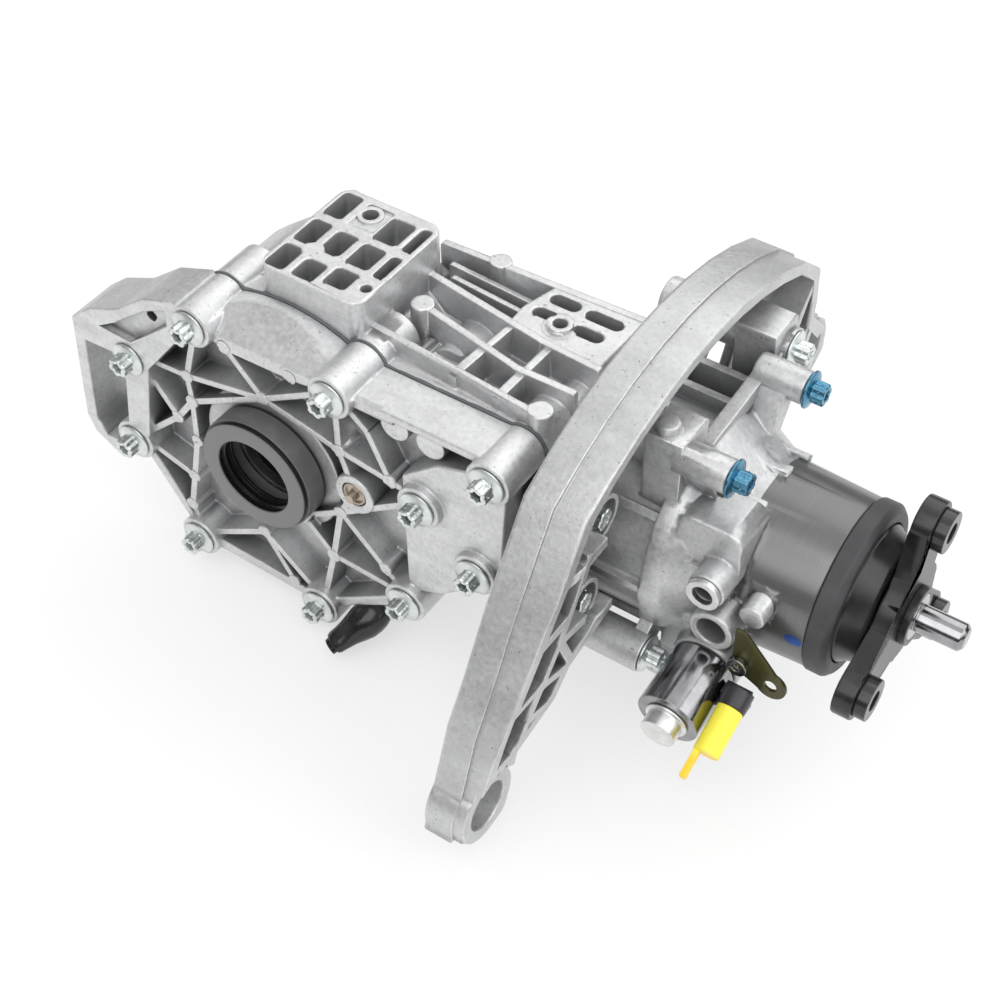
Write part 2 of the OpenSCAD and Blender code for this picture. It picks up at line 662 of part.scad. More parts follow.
module clutch_lugs() {
    for (p = housing_bolt_points) {
        translate([0, p[0], p[1]]) rod_x(clutch_start, housing_bolt_seat, 10.5);
        wall_x([0, 0], p, clutch_end - 6 + step_back, clutch_end + 2 - step_back, 15);
        wall_x([0, 0], p, clutch_start + step_back, clutch_start + 12, 15);
    }
    wall_x(housing_bolt_points[0], housing_bolt_points[1], clutch_end - 5, housing_bolt_seat - 1, 9);
    translate([182, -38, 30]) cube([20, 24, 50]);
    translate([180, 50, 30]) cube([22, 22, 50]);
    translate([190.8, -31, 60]) cylinder(h = 25, r = 5.5);
    for (p = tube_bolt_points) {
        translate([0, p[0], p[1]]) rod_x(clutch_end - 4, tube_bolt_seat, 8.5);
        wall_x([0, 0], p, clutch_end, clutch_end + 15, 12);
    }
}

module clutch_fins() {
    for (y = [4, 22, 40]) translate([clutch_start + 8, y - 2, 20]) cube([clutch_len - 12, 4, 38]);
    for (a = [140:40:400]) rotate([a, 0, 0]) translate([clutch_start + 8, body_r - 8, -2]) cube([clutch_len - 12, 12, 4]);
    for (a = [112, 82, 52]) rotate([a, 0, 0]) translate([clutch_end + 4, tube_r - 6, -3]) cube([30, 9, 6]);
}

module clutch_chambers() {
    rod_x(clutch_start - 1, clutch_end + 2, drum_r + 2.5);
    rod_x(clutch_start, tube_front - 30, tube_r - 10);
    rod_x(tube_front - 40, tube_front - 14, 36 + press_gap);
    rod_x(tube_front - 20, tube_front + 1, 34);
    for (p = housing_bolt_points) translate([0, p[0], p[1]]) {
        rod_x(clutch_start - 1, housing_bolt_seat + 1, bolt_r + 0.4);
        rod_x(housing_bolt_seat, housing_bolt_seat + 14, washer_r + 0.6);
    }
    for (p = tube_bolt_points) translate([0, p[0], p[1]]) rod_x(clutch_end - 6, tube_bolt_seat + 1, bolt_r);
    translate([port_x, 0, port_z]) rod_y(-64, -42, port_hole_r);
    translate([stub_x, 0, stub_z]) rod_y(-64, -42, stub_hole_r);
}

port_x = 230.8;
port_z = 22.9;
port_hole_r = 5.2;
stub_x = 235.6;
stub_z = -2;
stub_hole_r = 7.3;
can_x = 233;
can_y = -52;
can_z = -31;
can_r = 16;
can_tilt = 8.5;

module valve_block() {
    slab(-46, -20) translate([207, 20]) round_rect(33, 29, 8);
    translate([port_x, 0, port_z]) rod_y(-60, -25, 9.5);
    translate([stub_x, 0, stub_z]) rod_y(-60, -25, 11.4);
    translate([252, 0, 12]) rod_y(-54, -25, 6.5);
    translate([206, -50, -40]) cube([40, 34, 30]);
    translate([204, -48, -22]) cube([34, 30, 44]);
    translate([can_x, can_y + 4, can_z]) rotate([90 + can_tilt, 0, 0]) cylinder(h = 8, r = can_r + 1.5);
}

module housing_bolts() {
    color("gainsboro") lift() for (p = housing_bolt_points)
        translate([housing_bolt_seat, p[0], p[1]]) rotate([0, 90, 0]) lobed_bolt(bolt_r, clutch_len + 15, 5.6, 9);
}

module tube_bolts() {
    color("steelblue") lift() for (p = tube_bolt_points)
        translate([tube_bolt_seat, p[0], p[1]]) rotate([0, 90, 0]) lobed_bolt(bolt_r, 18, 5.6, 9);
}

module dust_ring() {
    color("black") lift() turned_x() polygon([[36, tube_front], [tube_r - 1, tube_front],
        [tube_r - 1, tube_front + 8], [tube_r - 4, tube_front + 11], [36, tube_front + 11]]);
}

module input_seal() {
    color("dimgray") lift() turned_x() polygon([[16, tube_front - 12], [34 - press_gap, tube_front - 12],
        [34 - press_gap, tube_front - 4], [16, tube_front - 4]]);
}

module seal_shield() {
    color("darkgray") lift() turned_x() polygon([[16, tube_front + 1.5], [35.4, tube_front + 1.5],
        [35.4, tube_front + 12], [30, flange_front - flange_t - 1], [16, flange_front - flange_t - 1]]);
}

flange_angles = [74, 194, 314];

module input_flange() {
    r = flange_pcd / 2;
    color("black") lift() difference() {
        union() {
            rod_x(flange_front - flange_t, flange_front, 26);
            for (a = flange_angles) rotate([a, 0, 0]) {
                translate([flange_front - flange_t, 0, -13]) cube([flange_t, r, 26]);
                translate([0, r, 0]) rod_x(flange_front - flange_t, flange_front, 13);
            }
        }
        rod_x(0, flange_front + 1, 12 + press_gap);
        for (a = flange_angles) rotate([a, 0, 0]) translate([0, r, 0]) rod_x(0, flange_front + 1, 7);
    }
}

module flange_bushes() {
    r = flange_pcd / 2;
    color("dimgray") lift() for (a = flange_angles) rotate([a, 0, 0]) translate([0, r, 0]) difference() {
        union() {
            rod_x(flange_front - flange_t, flange_front + eps, 7 - press_gap);
            rod_x(flange_front, flange_front + 6, 10.5);
        }
        rod_x(0, flange_front + 7, flange_hole_r);
    }
}

module flange_nut() {
    color("dimgray") lift() difference() {
        rod_x(flange_front, flange_front + 4, 15);
        rod_x(0, flange_front + 5, 12 + press_gap);
    }
}

module input_shaft() {
    color("silver") lift() turned_x() polygon([[0, drum_end - 4], [20, drum_end - 4], [20, drum_end + 4], [15, drum_end + 4], [15, flange_front - flange_t - 1],
        [12, flange_front - flange_t - 1], [12, flange_front + 4], [pin_r, flange_front + 4], [pin_r, pin_tip - 2], [pin_r - 2, pin_tip], [0, pin_tip]]);
}

race_x = tube_front - 29;
race_r = 25;

module input_bearing_outer() {
    color("silver") lift() turned_x() difference() {
        translate([race_r + 5, race_x - 8]) square([6, 16]);
        translate([race_r, race_x]) circle(r = 6);
    }
}

module input_bearing_inner() {
    color("silver") lift() turned_x() difference() {
        translate([15 + press_gap, race_x - 8]) square([race_r - 20, 16]);
        translate([race_r, race_x]) circle(r = 6);
    }
}

module input_bearing_balls() {
    color("silver") lift() for (k = [0:9]) rotate([36 * k, 0, 0]) translate([race_x, race_r, 0]) sphere(r = 5.85);
}

drum_r = 44.5;
drum_wall = 3;
hub_r = 25;
plate_pitch = 4.2;
plate_t = 1.8;
plates_start = clutch_start + 22;
drum_end = clutch_end;

module clutch_drum() {
    color("gray") lift() turned_x() polygon([[20 + press_gap, drum_end], [drum_r, drum_end],
        [drum_r, plates_start - 4], [drum_r - drum_wall, plates_start - 4], [drum_r - drum_wall, drum_end - 4],
        [20 + press_gap, drum_end - 4]]);
}

module drum_plates() {
    color("gray") lift() for (k = [0:5]) difference() {
        rod_x(plates_start + k * plate_pitch, plates_start + k * plate_pitch + plate_t, drum_r - drum_wall);
        rod_x(clutch_start, clutch_end + 20, hub_r + 2.5);
    }
}

module hub_plates() {
    color("tan") lift() for (k = [0:4]) translate([plates_start + (k + 0.5) * plate_pitch, 0, 0]) difference() {
        rod_x(0, plate_t, drum_r - drum_wall - 2.5);
        rod_x(-1, plate_t + 1, hub_r);
    }
}

module clutch_hub() {
    color("gray") lift() turned_x() polygon([[12 + press_gap, plates_start - 8], [hub_r, plates_start - 8],
        [hub_r, drum_end - 5], [hub_r - 3, drum_end - 5], [hub_r - 3, plates_start - 4],
        [12 + press_gap, plates_start - 4]]);
}

module clutch_piston() {
    color("gray") lift() turned_x() polygon([[hub_r + 3, clutch_start + 4], [drum_r - drum_wall - 1, clutch_start + 4],
        [drum_r - drum_wall - 1, plates_start - 1.4], [hub_r + 3, plates_start - 1.4]]);
}

module pinion_shaft() {
    dist = cone_distance(gear_module, ring_teeth, pinion_teeth);
    mesh_phase = pinion_teeth * 0.75 - 0.5;
    color("gray") lift() rotate([0, 90, 0]) {
        bevel_teeth(gear_module, pinion_teeth, pinion_angle, dist, gear_face, mesh_phase);
        bevel_blank(gear_module, pinion_angle, dist, gear_face, 0, 21, head_start);
        rotate_extrude() polygon([[0, head_start - 4], [head_journal, head_start - 4],
            [head_journal, head_start + head_w], [tail_journal, head_start + head_w + 2],
            [tail_journal, tail_start + tail_w], [12, tail_start + tail_w], [12, plates_start - 2], [0, plates_start - 2]]);
    }
}

module pinion_nut() {
    color("gray") lift() difference() {
        rod_x(tail_start + tail_w, tail_start + tail_w + 8, 19);
        rod_x(0, 200, 12 + press_gap);
    }
}

module head_bearing_cup() { color("silver") lift() head_place() bearing_cup(head_journal, head_r, head_w); }
module head_bearing_cone() { color("silver") lift() head_place() bearing_cone(head_journal + press_gap, head_r, head_w); }
module head_bearing_cage() { color("goldenrod") lift() head_place() bearing_cage(head_journal, head_r, head_w); }
module head_bearing_rollers() { color("silver") lift() head_place() bearing_rollers(head_journal, head_r, head_w); }
module tail_bearing_cup() { color("silver") lift() tail_place() bearing_cup(tail_journal, tail_r, tail_w); }
module tail_bearing_cone() { color("silver") lift() tail_place() bearing_cone(tail_journal + press_gap, tail_r, tail_w); }
module tail_bearing_cage() { color("goldenrod") lift() tail_place() bearing_cage(tail_journal, tail_r, tail_w); }
module tail_bearing_rollers() { color("silver") lift() tail_place() bearing_rollers(tail_journal, tail_r, tail_w); }
module side_bearing_cups() { color("silver") lift() side_places() bearing_cup(side_journal_r, side_cup_r, side_bearing_w); }
module side_bearing_cones() { color("silver") lift() side_places() bearing_cone(side_journal_r + press_gap, side_cup_r, side_bearing_w); }
module side_bearing_cages() { color("goldenrod") lift() side_places() bearing_cage(side_journal_r, side_cup_r, side_bearing_w); }
module side_bearing_rollers() { color("silver") lift() side_places() bearing_rollers(side_journal_r, side_cup_r, side_bearing_w); }

case_half = 36;
module differential_case() {
    left = case_left - case_mid_y;
    right = case_right - case_mid_y;
    color("gray") lift() translate([0, case_mid_y, 0]) difference() {
        turned_y() polygon([[15, left], [side_journal_r, left], [side_journal_r, -case_half - 8],
            [30, -case_half - 6], [44, -case_half + 2], [60, -case_half + 2], [60, -case_half + 8], [43, -case_half + 8],
            [43, -10], [41, -8], [41, case_half - 10], [30, case_half], [side_journal_r, case_half + 6],
            [side_journal_r, right], [15, right]]);
        sphere(r = 33);
        rod_y(-42, 42, 17 + run_gap);
        translate([0, 0, -50]) cylinder(h = 100, r = cross_pin_r + press_gap);
        for (s = [-1, 1]) translate([s * 34, 4, 0]) rotate([0, 90, 0]) cylinder(h = 30, r = 16, center = true);
        for (k = [0:9]) rotate([0, 36 * k, 0]) translate([52, 0, 0]) rod_y(-case_half, 0, 4);
    }
}

module ring_gear() {
    dist = cone_distance(gear_module, ring_teeth, pinion_teeth);
    color("gray") lift() rotate([90, 0, 0]) {
        bevel_teeth(gear_module, ring_teeth, ring_angle, dist, gear_face, 0);
        difference() {
            bevel_blank(gear_module, ring_angle, dist, gear_face, 43 + press_gap, 64, 50);
            for (k = [0:9]) rotate(36 * k) translate([52, 0, 38]) cylinder(h = 20, r = 4);
        }
    }
}

module ring_gear_bolts() {
    color("gray") lift() for (k = [0:9]) rotate([0, 36 * k, 0]) translate([52, case_mid_y - case_half + 2, 0])
        rotate([90, 0, 0]) {
            cylinder(h = 5, r = 6, $fn = 6);
            translate([0, 0, -16]) cylinder(h = 17, r = 4 - press_gap);
        }
}

module cross_pin() {
    color("silver") lift() translate([0, case_mid_y, -40]) cylinder(h = 80, r = cross_pin_r);
}

module side_gear() {
    dist = cone_distance(diff_module, side_teeth, planet_teeth);
    angle = pitch_angle(side_teeth, planet_teeth);
    difference() {
        union() {
            bevel_teeth(diff_module, side_teeth, angle, dist, diff_face, 0);
            bevel_blank(diff_module, angle, dist, diff_face, 0, 21.5, 24);
            translate([0, 0, 23]) cylinder(h = 18, r = 17);
        }
        cylinder(h = 60, r = spline_r);
    }
}

module planet_gear() {
    dist = cone_distance(diff_module, side_teeth, planet_teeth);
    angle = pitch_angle(planet_teeth, side_teeth);
    difference() {
        union() {
            bevel_teeth(diff_module, planet_teeth, angle, dist, diff_face, 0.5);
            bevel_blank(diff_module, angle, dist, diff_face, 0, 12, 30.2);
        }
        cylinder(h = 60, r = cross_pin_r + run_gap);
    }
}

module side_gear_left() { color("gray") lift() translate([0, case_mid_y, 0]) rotate([90, 0, 0]) rotate(90) side_gear(); }
module side_gear_right() { color("gray") lift() translate([0, case_mid_y, 0]) rotate([-90, 0, 0]) rotate(90) side_gear(); }
module planet_gear_upper() { color("gray") lift() translate([0, case_mid_y, 0]) rotate(90) planet_gear(); }
module planet_gear_lower() { color("gray") lift() translate([0, case_mid_y, 0]) mirror([0, 0, 1]) rotate(90) planet_gear(); }

// Valve group
module port_ring() {
    color("silver") lift() translate([port_x, 0, port_z]) difference() {
        rod_y(-63, -60, 8.5);
        rod_y(-64, -59, port_hole_r);
    }
}

module solenoid_axis() { translate([can_x, can_y, can_z]) rotate([90 + can_tilt, 0, 0]) children(); }

module solenoid_can() {
    color("silver") lift() solenoid_axis() difference() {
        translate([0, 0, 4.5]) cylinder(h = 34, r = can_r);
        translate([0, 0, 10]) cylinder(h = 40, r = 9);
    }
}

module solenoid_plug() {
    color("silver") lift() solenoid_axis() difference() {
        union() {
            translate([0, 0, 28]) cylinder(h = 20, r = 9 - press_gap);
            translate([0, 0, 38.5]) cylinder(h = 1.5, r = 11);
        }
        translate([0, 0, 27]) cylinder(h = 10, r = 5);
    }
}

module solenoid_plunger() {
    color("silver") lift() solenoid_axis() translate([0, 0, 11]) cylinder(h = 20, r = 4.5);
}

module plug_axis() { translate([256.7, -64.2, -26.2]) rotate([114, 0, 0]) children(); }

module connector() {
    color("black") lift() {
        plug_axis() cylinder(h = 10, r = 7);
        translate([can_x + can_r + press_gap, -70, -37]) cube([13, 8, 12]);
    }
}

module connector_cap() {
    color("gold") lift() plug_axis() {
        translate([0, 0, 10]) cylinder(h = 24, r = 6.5);
        translate([-5.5, -1.5, 32]) cube([3, 4, 17]);
    }
}

module retaining_tab() {
    color("olive") lift() difference() {
        union() {
            slab(-60, -58) polygon([[248, 8], [253, 8], [265, -5], [273, -14], [264.5, -25], [256, -21], [248, -19]]);
            translate([268.7, 0, -19]) rod_y(-60, -58, 8);
        }
        translate([268.7, 0, -19]) rod_y(-62, -56, 3.2);
        translate([252.2, 0, -13.5]) rod_y(-62, -56, 2.6);
        translate([stub_x, 0, stub_z]) rod_y(-62, -56, 11.4 + press_gap);
    }
}

module tab_screw() {
    color("silver") lift() translate([252.2, 0, -13.5]) difference() {
        union() {
            rod_y(-63.5, -60, 5.2);
            rod_y(-61, -50, 2.6 - press_gap);
        }
        rod_y(-64, -61.5, 2);
    }
}

main_housing();
side_cover();
cover_gasket();
cover_bolts();
left_seal();
right_seal();
level_plug();
drain_plug();
breather_hose();
mount_bracket();
bracket_bolts();
clutch_housing();
housing_bolts();
tube_bolts();
dust_ring();
input_seal();
seal_shield();
input_flange();
flange_bushes();
flange_nut();
input_shaft();
input_bearing_outer();
input_bearing_inner();
input_bearing_balls();
clutch_drum();
drum_plates();
clutch_hub();
hub_plates();
clutch_piston();
pinion_shaft();
pinion_nut();
head_bearing_cup();
head_bearing_cone();
head_bearing_cage();
head_bearing_rollers();
tail_bearing_cup();
tail_bearing_cone();
tail_bearing_cage();
tail_bearing_rollers();
differential_case();
ring_gear();
ring_gear_bolts();
cross_pin();
side_gear_left();
side_gear_right();
planet_gear_upper();
planet_gear_lower();
side_bearing_cups();
side_bearing_cones();
side_bearing_cages();
side_bearing_rollers();
port_ring();
solenoid_can();
solenoid_plug();
solenoid_plunger();
connector();
connector_cap();
retaining_tab();
tab_screw();
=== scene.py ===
import bpy, bmesh, json, math
from mathutils import Matrix, Vector, noise
from mathutils.bvhtree import BVHTree
from mathutils.kdtree import KDTree


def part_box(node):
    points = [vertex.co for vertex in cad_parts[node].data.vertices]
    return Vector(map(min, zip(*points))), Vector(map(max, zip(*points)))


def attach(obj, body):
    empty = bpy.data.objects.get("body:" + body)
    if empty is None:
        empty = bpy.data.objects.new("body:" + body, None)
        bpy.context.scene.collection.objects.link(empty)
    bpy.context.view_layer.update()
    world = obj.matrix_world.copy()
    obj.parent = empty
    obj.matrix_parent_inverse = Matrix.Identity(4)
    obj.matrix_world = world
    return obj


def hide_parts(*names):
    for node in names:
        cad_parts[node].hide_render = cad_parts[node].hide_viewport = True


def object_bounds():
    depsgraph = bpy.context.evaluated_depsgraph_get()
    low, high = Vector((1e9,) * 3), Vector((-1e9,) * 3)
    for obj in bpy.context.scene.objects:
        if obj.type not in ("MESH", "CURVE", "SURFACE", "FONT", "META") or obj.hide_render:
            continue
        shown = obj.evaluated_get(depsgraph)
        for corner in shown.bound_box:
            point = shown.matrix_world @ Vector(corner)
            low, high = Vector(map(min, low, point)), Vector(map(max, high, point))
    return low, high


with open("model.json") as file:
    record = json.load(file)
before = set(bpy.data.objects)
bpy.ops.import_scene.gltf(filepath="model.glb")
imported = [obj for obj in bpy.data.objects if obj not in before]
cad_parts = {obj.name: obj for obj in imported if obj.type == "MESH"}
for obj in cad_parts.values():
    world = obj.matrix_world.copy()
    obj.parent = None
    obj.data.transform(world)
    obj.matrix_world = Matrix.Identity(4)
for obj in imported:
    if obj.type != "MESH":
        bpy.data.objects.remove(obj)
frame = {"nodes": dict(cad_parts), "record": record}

scene = bpy.context.scene
cadLow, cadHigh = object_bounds()
mm = 0.001
axleReach = 101 * mm  # from the left seal's face to the input shaft's axis
weldGap = 1e-6  # vertices closer than this are one

# Camera at the photograph's view
cameraView = {"place": (0.4648, -0.4740, 0.6683), "azimuth": 33.84, "elevation": 46.36, "lens": 68.04,
    "sensor": 36, "near": 0.01, "far": 50}
camera = bpy.data.objects.new("camera", bpy.data.cameras.new("camera"))
scene.collection.objects.link(camera)
camera.location = cameraView["place"]
camera.rotation_euler = (math.radians(90 - cameraView["elevation"]), 0, math.radians(cameraView["azimuth"]))
camera.data.lens = cameraView["lens"]
camera.data.sensor_width = cameraView["sensor"]
camera.data.clip_start, camera.data.clip_end = cameraView["near"], cameraView["far"]
scene.camera = camera
print("camera placed")


class Wire:
    # One output socket; plain sums on it add Math nodes
    def __init__(self, finish, socket):
        self.finish, self.socket = finish, socket

    def calc(self, operation, other, swapped=False):
        first, second = (other, self) if swapped else (self, other)
        return self.finish.add("ShaderNodeMath", {"operation": operation}, {0: first, 1: second})

    def __add__(self, other): return self.calc("ADD", other)
    def __radd__(self, other): return self.calc("ADD", other, True)
    def __sub__(self, other): return self.calc("SUBTRACT", other)
    def __rsub__(self, other): return self.calc("SUBTRACT", other, True)
    def __mul__(self, other): return self.calc("MULTIPLY", other)
    def __rmul__(self, other): return self.calc("MULTIPLY", other, True)
    def __gt__(self, other): return self.calc("GREATER_THAN", other)
    def __lt__(self, other): return self.calc("LESS_THAN", other)


# Rays taken for each shading point, and how far a rounded edge's normal leans from its face
shading = {"pocketRays": 8, "edgeRays": 6, "edgeLean": (0.995, 0.86)}

class Finish:
    def __init__(self, name):
        self.material = bpy.data.materials.new(name)
        self.material.use_nodes = True
        self.tree = self.material.node_tree
        self.tree.nodes.clear()
        self.place = self.add("ShaderNodeTexCoord", out="Object")

    def pick(self, sockets, key):
        if isinstance(key, int):
            return sockets[key]
        return next(socket for socket in sockets if socket.enabled and socket.name == key)

    def add(self, kind, settings={}, inputs={}, out=0):
        node = self.tree.nodes.new(kind)
        for key, value in settings.items():
            setattr(node, key, value)
        for key, value in inputs.items():
            socket = self.pick(node.inputs, key)
            if isinstance(value, Wire):
                self.tree.links.new(value.socket, socket)
            else:
                socket.default_value = value
        return Wire(self, self.pick(node.outputs, out)) if len(node.outputs) else node

    def noise(self, scale, detail, stretch=(1, 1, 1)):
        place = self.add("ShaderNodeMapping", {}, {"Vector": self.place, "Scale": stretch})
        return self.add("ShaderNodeTexNoise", {}, {"Vector": place, "Scale": scale, "Detail": detail})

    def between(self, value, low, high, start=0.0, end=1.0):
        return self.add("ShaderNodeMapRange", {}, {"Value": value, "From Min": low, "From Max": high,
            "To Min": start, "To Max": end}, "Result")

    def mixed(self, amount, first, second):
        inputs = {"Factor": amount, "A": first, "B": second}
        return self.add("ShaderNodeMix", {"data_type": "RGBA"}, inputs, "Result")

    def vector(self, operation, first, second, out=0):
        return self.add("ShaderNodeVectorMath", {"operation": operation}, {0: first, 1: second}, out)

    def along(self, letter):
        return self.add("ShaderNodeSeparateXYZ", {}, {0: self.place}, letter)

    def radius(self, middle, keep):
        # distance from an axis: keep is 1 for the directions that count
        flat = self.vector("MULTIPLY", self.vector("SUBTRACT", self.place, middle), keep)
        return self.add("ShaderNodeVectorMath", {"operation": "LENGTH"}, {0: flat}, "Value")

    def hollow(self, reach):
        # 1 in the open, towards 0 down in a pocket
        settings = {"samples": shading["pocketRays"]}
        return self.add("ShaderNodeAmbientOcclusion", settings, {"Distance": reach}, "AO")

    def soften(self, edge):
        return self.add("ShaderNodeBevel", {"samples": shading["edgeRays"]}, {"Radius": edge})

    def corner(self, edge):
        # 1 on a rounded edge, 0 on a flat face
        flat = self.add("ShaderNodeNewGeometry", {}, {}, "Normal")
        same = self.vector("DOT_PRODUCT", self.soften(edge), flat, "Value")
        return self.between(same, *shading["edgeLean"])

    def bump(self, height, depth, strength, edge):
        return self.add("ShaderNodeBump", {}, {"Height": height, "Distance": depth, "Strength": strength,
            "Normal": self.soften(edge)})

    def done(self, colour, rough, metal=0.0, normal=None):
        inputs = {"Base Color": colour, "Roughness": rough, "Metallic": metal}
        if normal:
            inputs["Normal"] = normal
        shader = self.add("ShaderNodeBsdfPrincipled", {}, inputs)
        self.add("ShaderNodeOutputMaterial", {}, {"Surface": shader})
        return self.material


noiseSpread = (0.3, 0.7)  # most of a noise pattern lies between these

def grey(value, blue=0.0):
    return (value, value + blue * 0.4, value + blue, 1)


def scaled(colour, share):
    return [c * share for c in colour[:3]] + [1]


# The tube is turned on a lathe and carries a dot of blue paint
tube = {"start": 0.2315, "radius": 0.0462, "lineScale": (3800, 30, 30), "lineTones": (0.13, 0.20),
    "lineDepth": 0.12, "roughness": 0.30, "dot": (0.2697, 0.0555, -0.0016), "dotShape": (0.75, 1, 1),
    "dotSize": 0.0042, "dotEdge": 0.0006, "dotEdgeScale": 900, "dotColour": (0.05, 0.12, 0.42, 1)}

def tubeArea(f):
    mask = (f.along("X") > tube["start"]) * (f.radius((0, axleReach, 0), (0, 1, 1)) < tube["radius"])
    uneven = f.noise(tube["dotEdgeScale"], 2) * tube["dotEdge"]
    dot = f.radius(tube["dot"], tube["dotShape"]) + uneven < tube["dotSize"]
    return mask, f.noise(1, 3, stretch=tube["lineScale"]), dot


# Light alloy castings: dull skin with flow marks, fine grain, small pits with painted shade, painted shade in
# pockets, rounded edges lighter as wear and painted highlight
casting = {"grainScale": 1600, "lumpScale": 420, "flowScale": 34, "flowStretch": (1, 1.6, 3),
    "toneSpread": (0.33, 0.66), "pitScale": 620, "pitSpread": (0.70, 0.78), "pitShadeTone": 0.6,
    "pocketReach": 0.020, "pocketShadeSpread": (0.08, 0.78), "edge": 0.0012, "edgeHighlightTone": 0.92,
    "wearHighlightOpen": (0.45, 0.8), "wearHighlightLumps": (0.35, 0.6, 0.5, 1),
    "roughness": (0.32, 0.48), "metal": 0.7, "depth": 0.00018, "relief": 0.7, "darkBlue": 0.006,
    "lightBlue": 0.010}

def castFinish(name, light, dark, pocketShade, machined=None):
    f = Finish(name)
    grain = f.noise(casting["grainScale"], 2)
    lumps = f.noise(casting["lumpScale"], 4)
    flow = f.noise(casting["flowScale"], 5, stretch=casting["flowStretch"])
    tone = f.between(lumps * 0.5 + flow * 0.5, *casting["toneSpread"])
    colour = f.mixed(tone, grey(dark, casting["darkBlue"]), grey(light, casting["lightBlue"]))
    pits = f.between(f.noise(casting["pitScale"], 1), *casting["pitSpread"])
    # Painted shade: the small pits are dented by the bump and also painted darker as their shade
    colour = f.mixed(pits, colour, grey(dark * casting["pitShadeTone"]))
    openness = f.hollow(casting["pocketReach"])
    # Worn edges and painted highlight: rounded edges in the open are painted lighter, partly as wear and
    # partly as a highlight
    worn = f.corner(casting["edge"]) * f.between(openness, *casting["wearHighlightOpen"])
    worn = worn * f.between(lumps, *casting["wearHighlightLumps"])
    colour = f.mixed(worn, colour, grey(casting["edgeHighlightTone"]))
    # Painted shade: where the ambient occlusion finds a pocket, the colour is painted darker towards the
    # pocket-shade tone
    colour = f.mixed(f.between(openness, *casting["pocketShadeSpread"]), grey(pocketShade, casting["lightBlue"]), colour)
    rough = f.between(grain * 0.4 + lumps * 0.6, *noiseSpread, *casting["roughness"])
    height = grain * 0.35 + lumps * 0.9 - pits * 0.8
    if machined:
        mask, lines, dot = machined(f)
        low, high = tube["lineTones"]
        colour = f.mixed(mask, colour, f.mixed(lines, grey(low), grey(high)))
        colour = f.mixed(dot, colour, tube["dotColour"])
        rough = rough * (1 - mask) + mask * tube["roughness"]
        height = height * (1 - mask) + mask * lines * tube["lineDepth"]
    normal = f.bump(height, casting["depth"], casting["relief"], casting["edge"])
    return f.done(colour, rough, casting["metal"], normal)


# Turned and ground steel: fine lines, and patches a little darker
steel = {"wearScale": 160, "wearSpread": (0.35, 0.65), "wearTone": 0.82, "roughLeast": 0.8, "roughMost": 1.3,
    "depth": 0.0001, "relief": 0.4, "edge": 0.0005}

def steelFinish(name, colour, rough, stretch=(400, 400, 400)):
    f = Finish(name)
    lines = f.noise(1, 3, stretch=stretch)
    wear = f.noise(steel["wearScale"], 3)
    tint = f.mixed(f.between(wear, *steel["wearSpread"]), scaled(colour, steel["wearTone"]), colour)
    roughness = f.between(lines * 0.5 + wear * 0.5, *noiseSpread, rough * steel["roughLeast"],
        rough * steel["roughMost"])
    return f.done(tint, roughness, 1.0, f.bump(lines, steel["depth"], steel["relief"], steel["edge"]))


# Rubber, paint and plastic: fine grain under a little dust
soft = {"dustScale": 70, "dustSpread": (0.4, 0.75), "dustTone": 0.045, "roughLeast": 0.85, "roughMost": 1.2,
    "relief": 0.5, "edge": 0.0006}

def softFinish(name, colour, rough, grain=900, depth=0.00012, metal=0.0, dust=0.5):
    f = Finish(name)
    fine = f.noise(grain, 3)
    broad = f.noise(soft["dustScale"], 4)
    dusty = [min(1, c + soft["dustTone"] * dust) for c in colour[:3]] + [1]
    tint = f.mixed(f.between(broad, *soft["dustSpread"]), colour, dusty)
    roughness = f.between(fine * 0.4 + broad * 0.6, *noiseSpread, rough * soft["roughLeast"],
        min(1, rough * soft["roughMost"]))
    return f.done(tint, roughness, metal, f.bump(fine, depth, soft["relief"], soft["edge"]))


# The seal's flat front is paler than its side, which is painted light; the groove and the bore are black,
# which is painted shade
sealTone = {"front": 0.0009, "groove": (0.0011, 0.0030), "grooveRadius": 0.028, "boreRadius": 0.0221,
    "boreSide": 0.0246, "boreStart": 0.0005, "litFrontTone": 0.16, "sideTone": 0.10, "sideWear": 1.3,
    "recessShadeTone": 0.010, "wearSpread": (0.4, 0.7), "roughness": (0.38, 0.52), "boreGloss": 0.22}

def sealFinish(name):
    f = Finish(name)
    across, out = f.along("Y"), f.radius((0, 0, 0), (1, 0, 1))
    fine, broad = f.noise(1300, 3), f.noise(90, 4)
    start, end = sealTone["groove"]
    front = (across < sealTone["front"]) * (out > sealTone["boreRadius"])
    groove = (across > start) * (across < end) * (out > sealTone["grooveRadius"])
    bore = (out < sealTone["boreSide"]) * (across > sealTone["boreStart"])
    side = sealTone["sideTone"]
    colour = f.mixed(f.between(broad, *sealTone["wearSpread"]), grey(side), grey(side * sealTone["sideWear"]))
    # Painted light: the flat front is painted paler than the side of the same rubber
    colour = f.mixed(front, colour, grey(sealTone["litFrontTone"]))
    # Painted shade: the groove and the bore are painted black
    colour = f.mixed(groove + bore, colour, grey(sealTone["recessShadeTone"]))
    rough = f.between(fine, *noiseSpread, *sealTone["roughness"]) - bore * sealTone["boreGloss"]
    return f.done(colour, rough, 0.0, f.bump(fine, 0.00005, 0.5, 0.0005))


# Cap of the valve's connector: pale yellow, with a deeper yellow tip
capTone = {"body": (0.90, 0.80, 0.07, 1), "bodyWear": 0.94, "wearSpread": (0.4, 0.7),
    "tip": (0.86, 0.56, 0.02, 1), "tipShare": 0.36, "fade": 0.001, "roughness": (0.32, 0.42)}

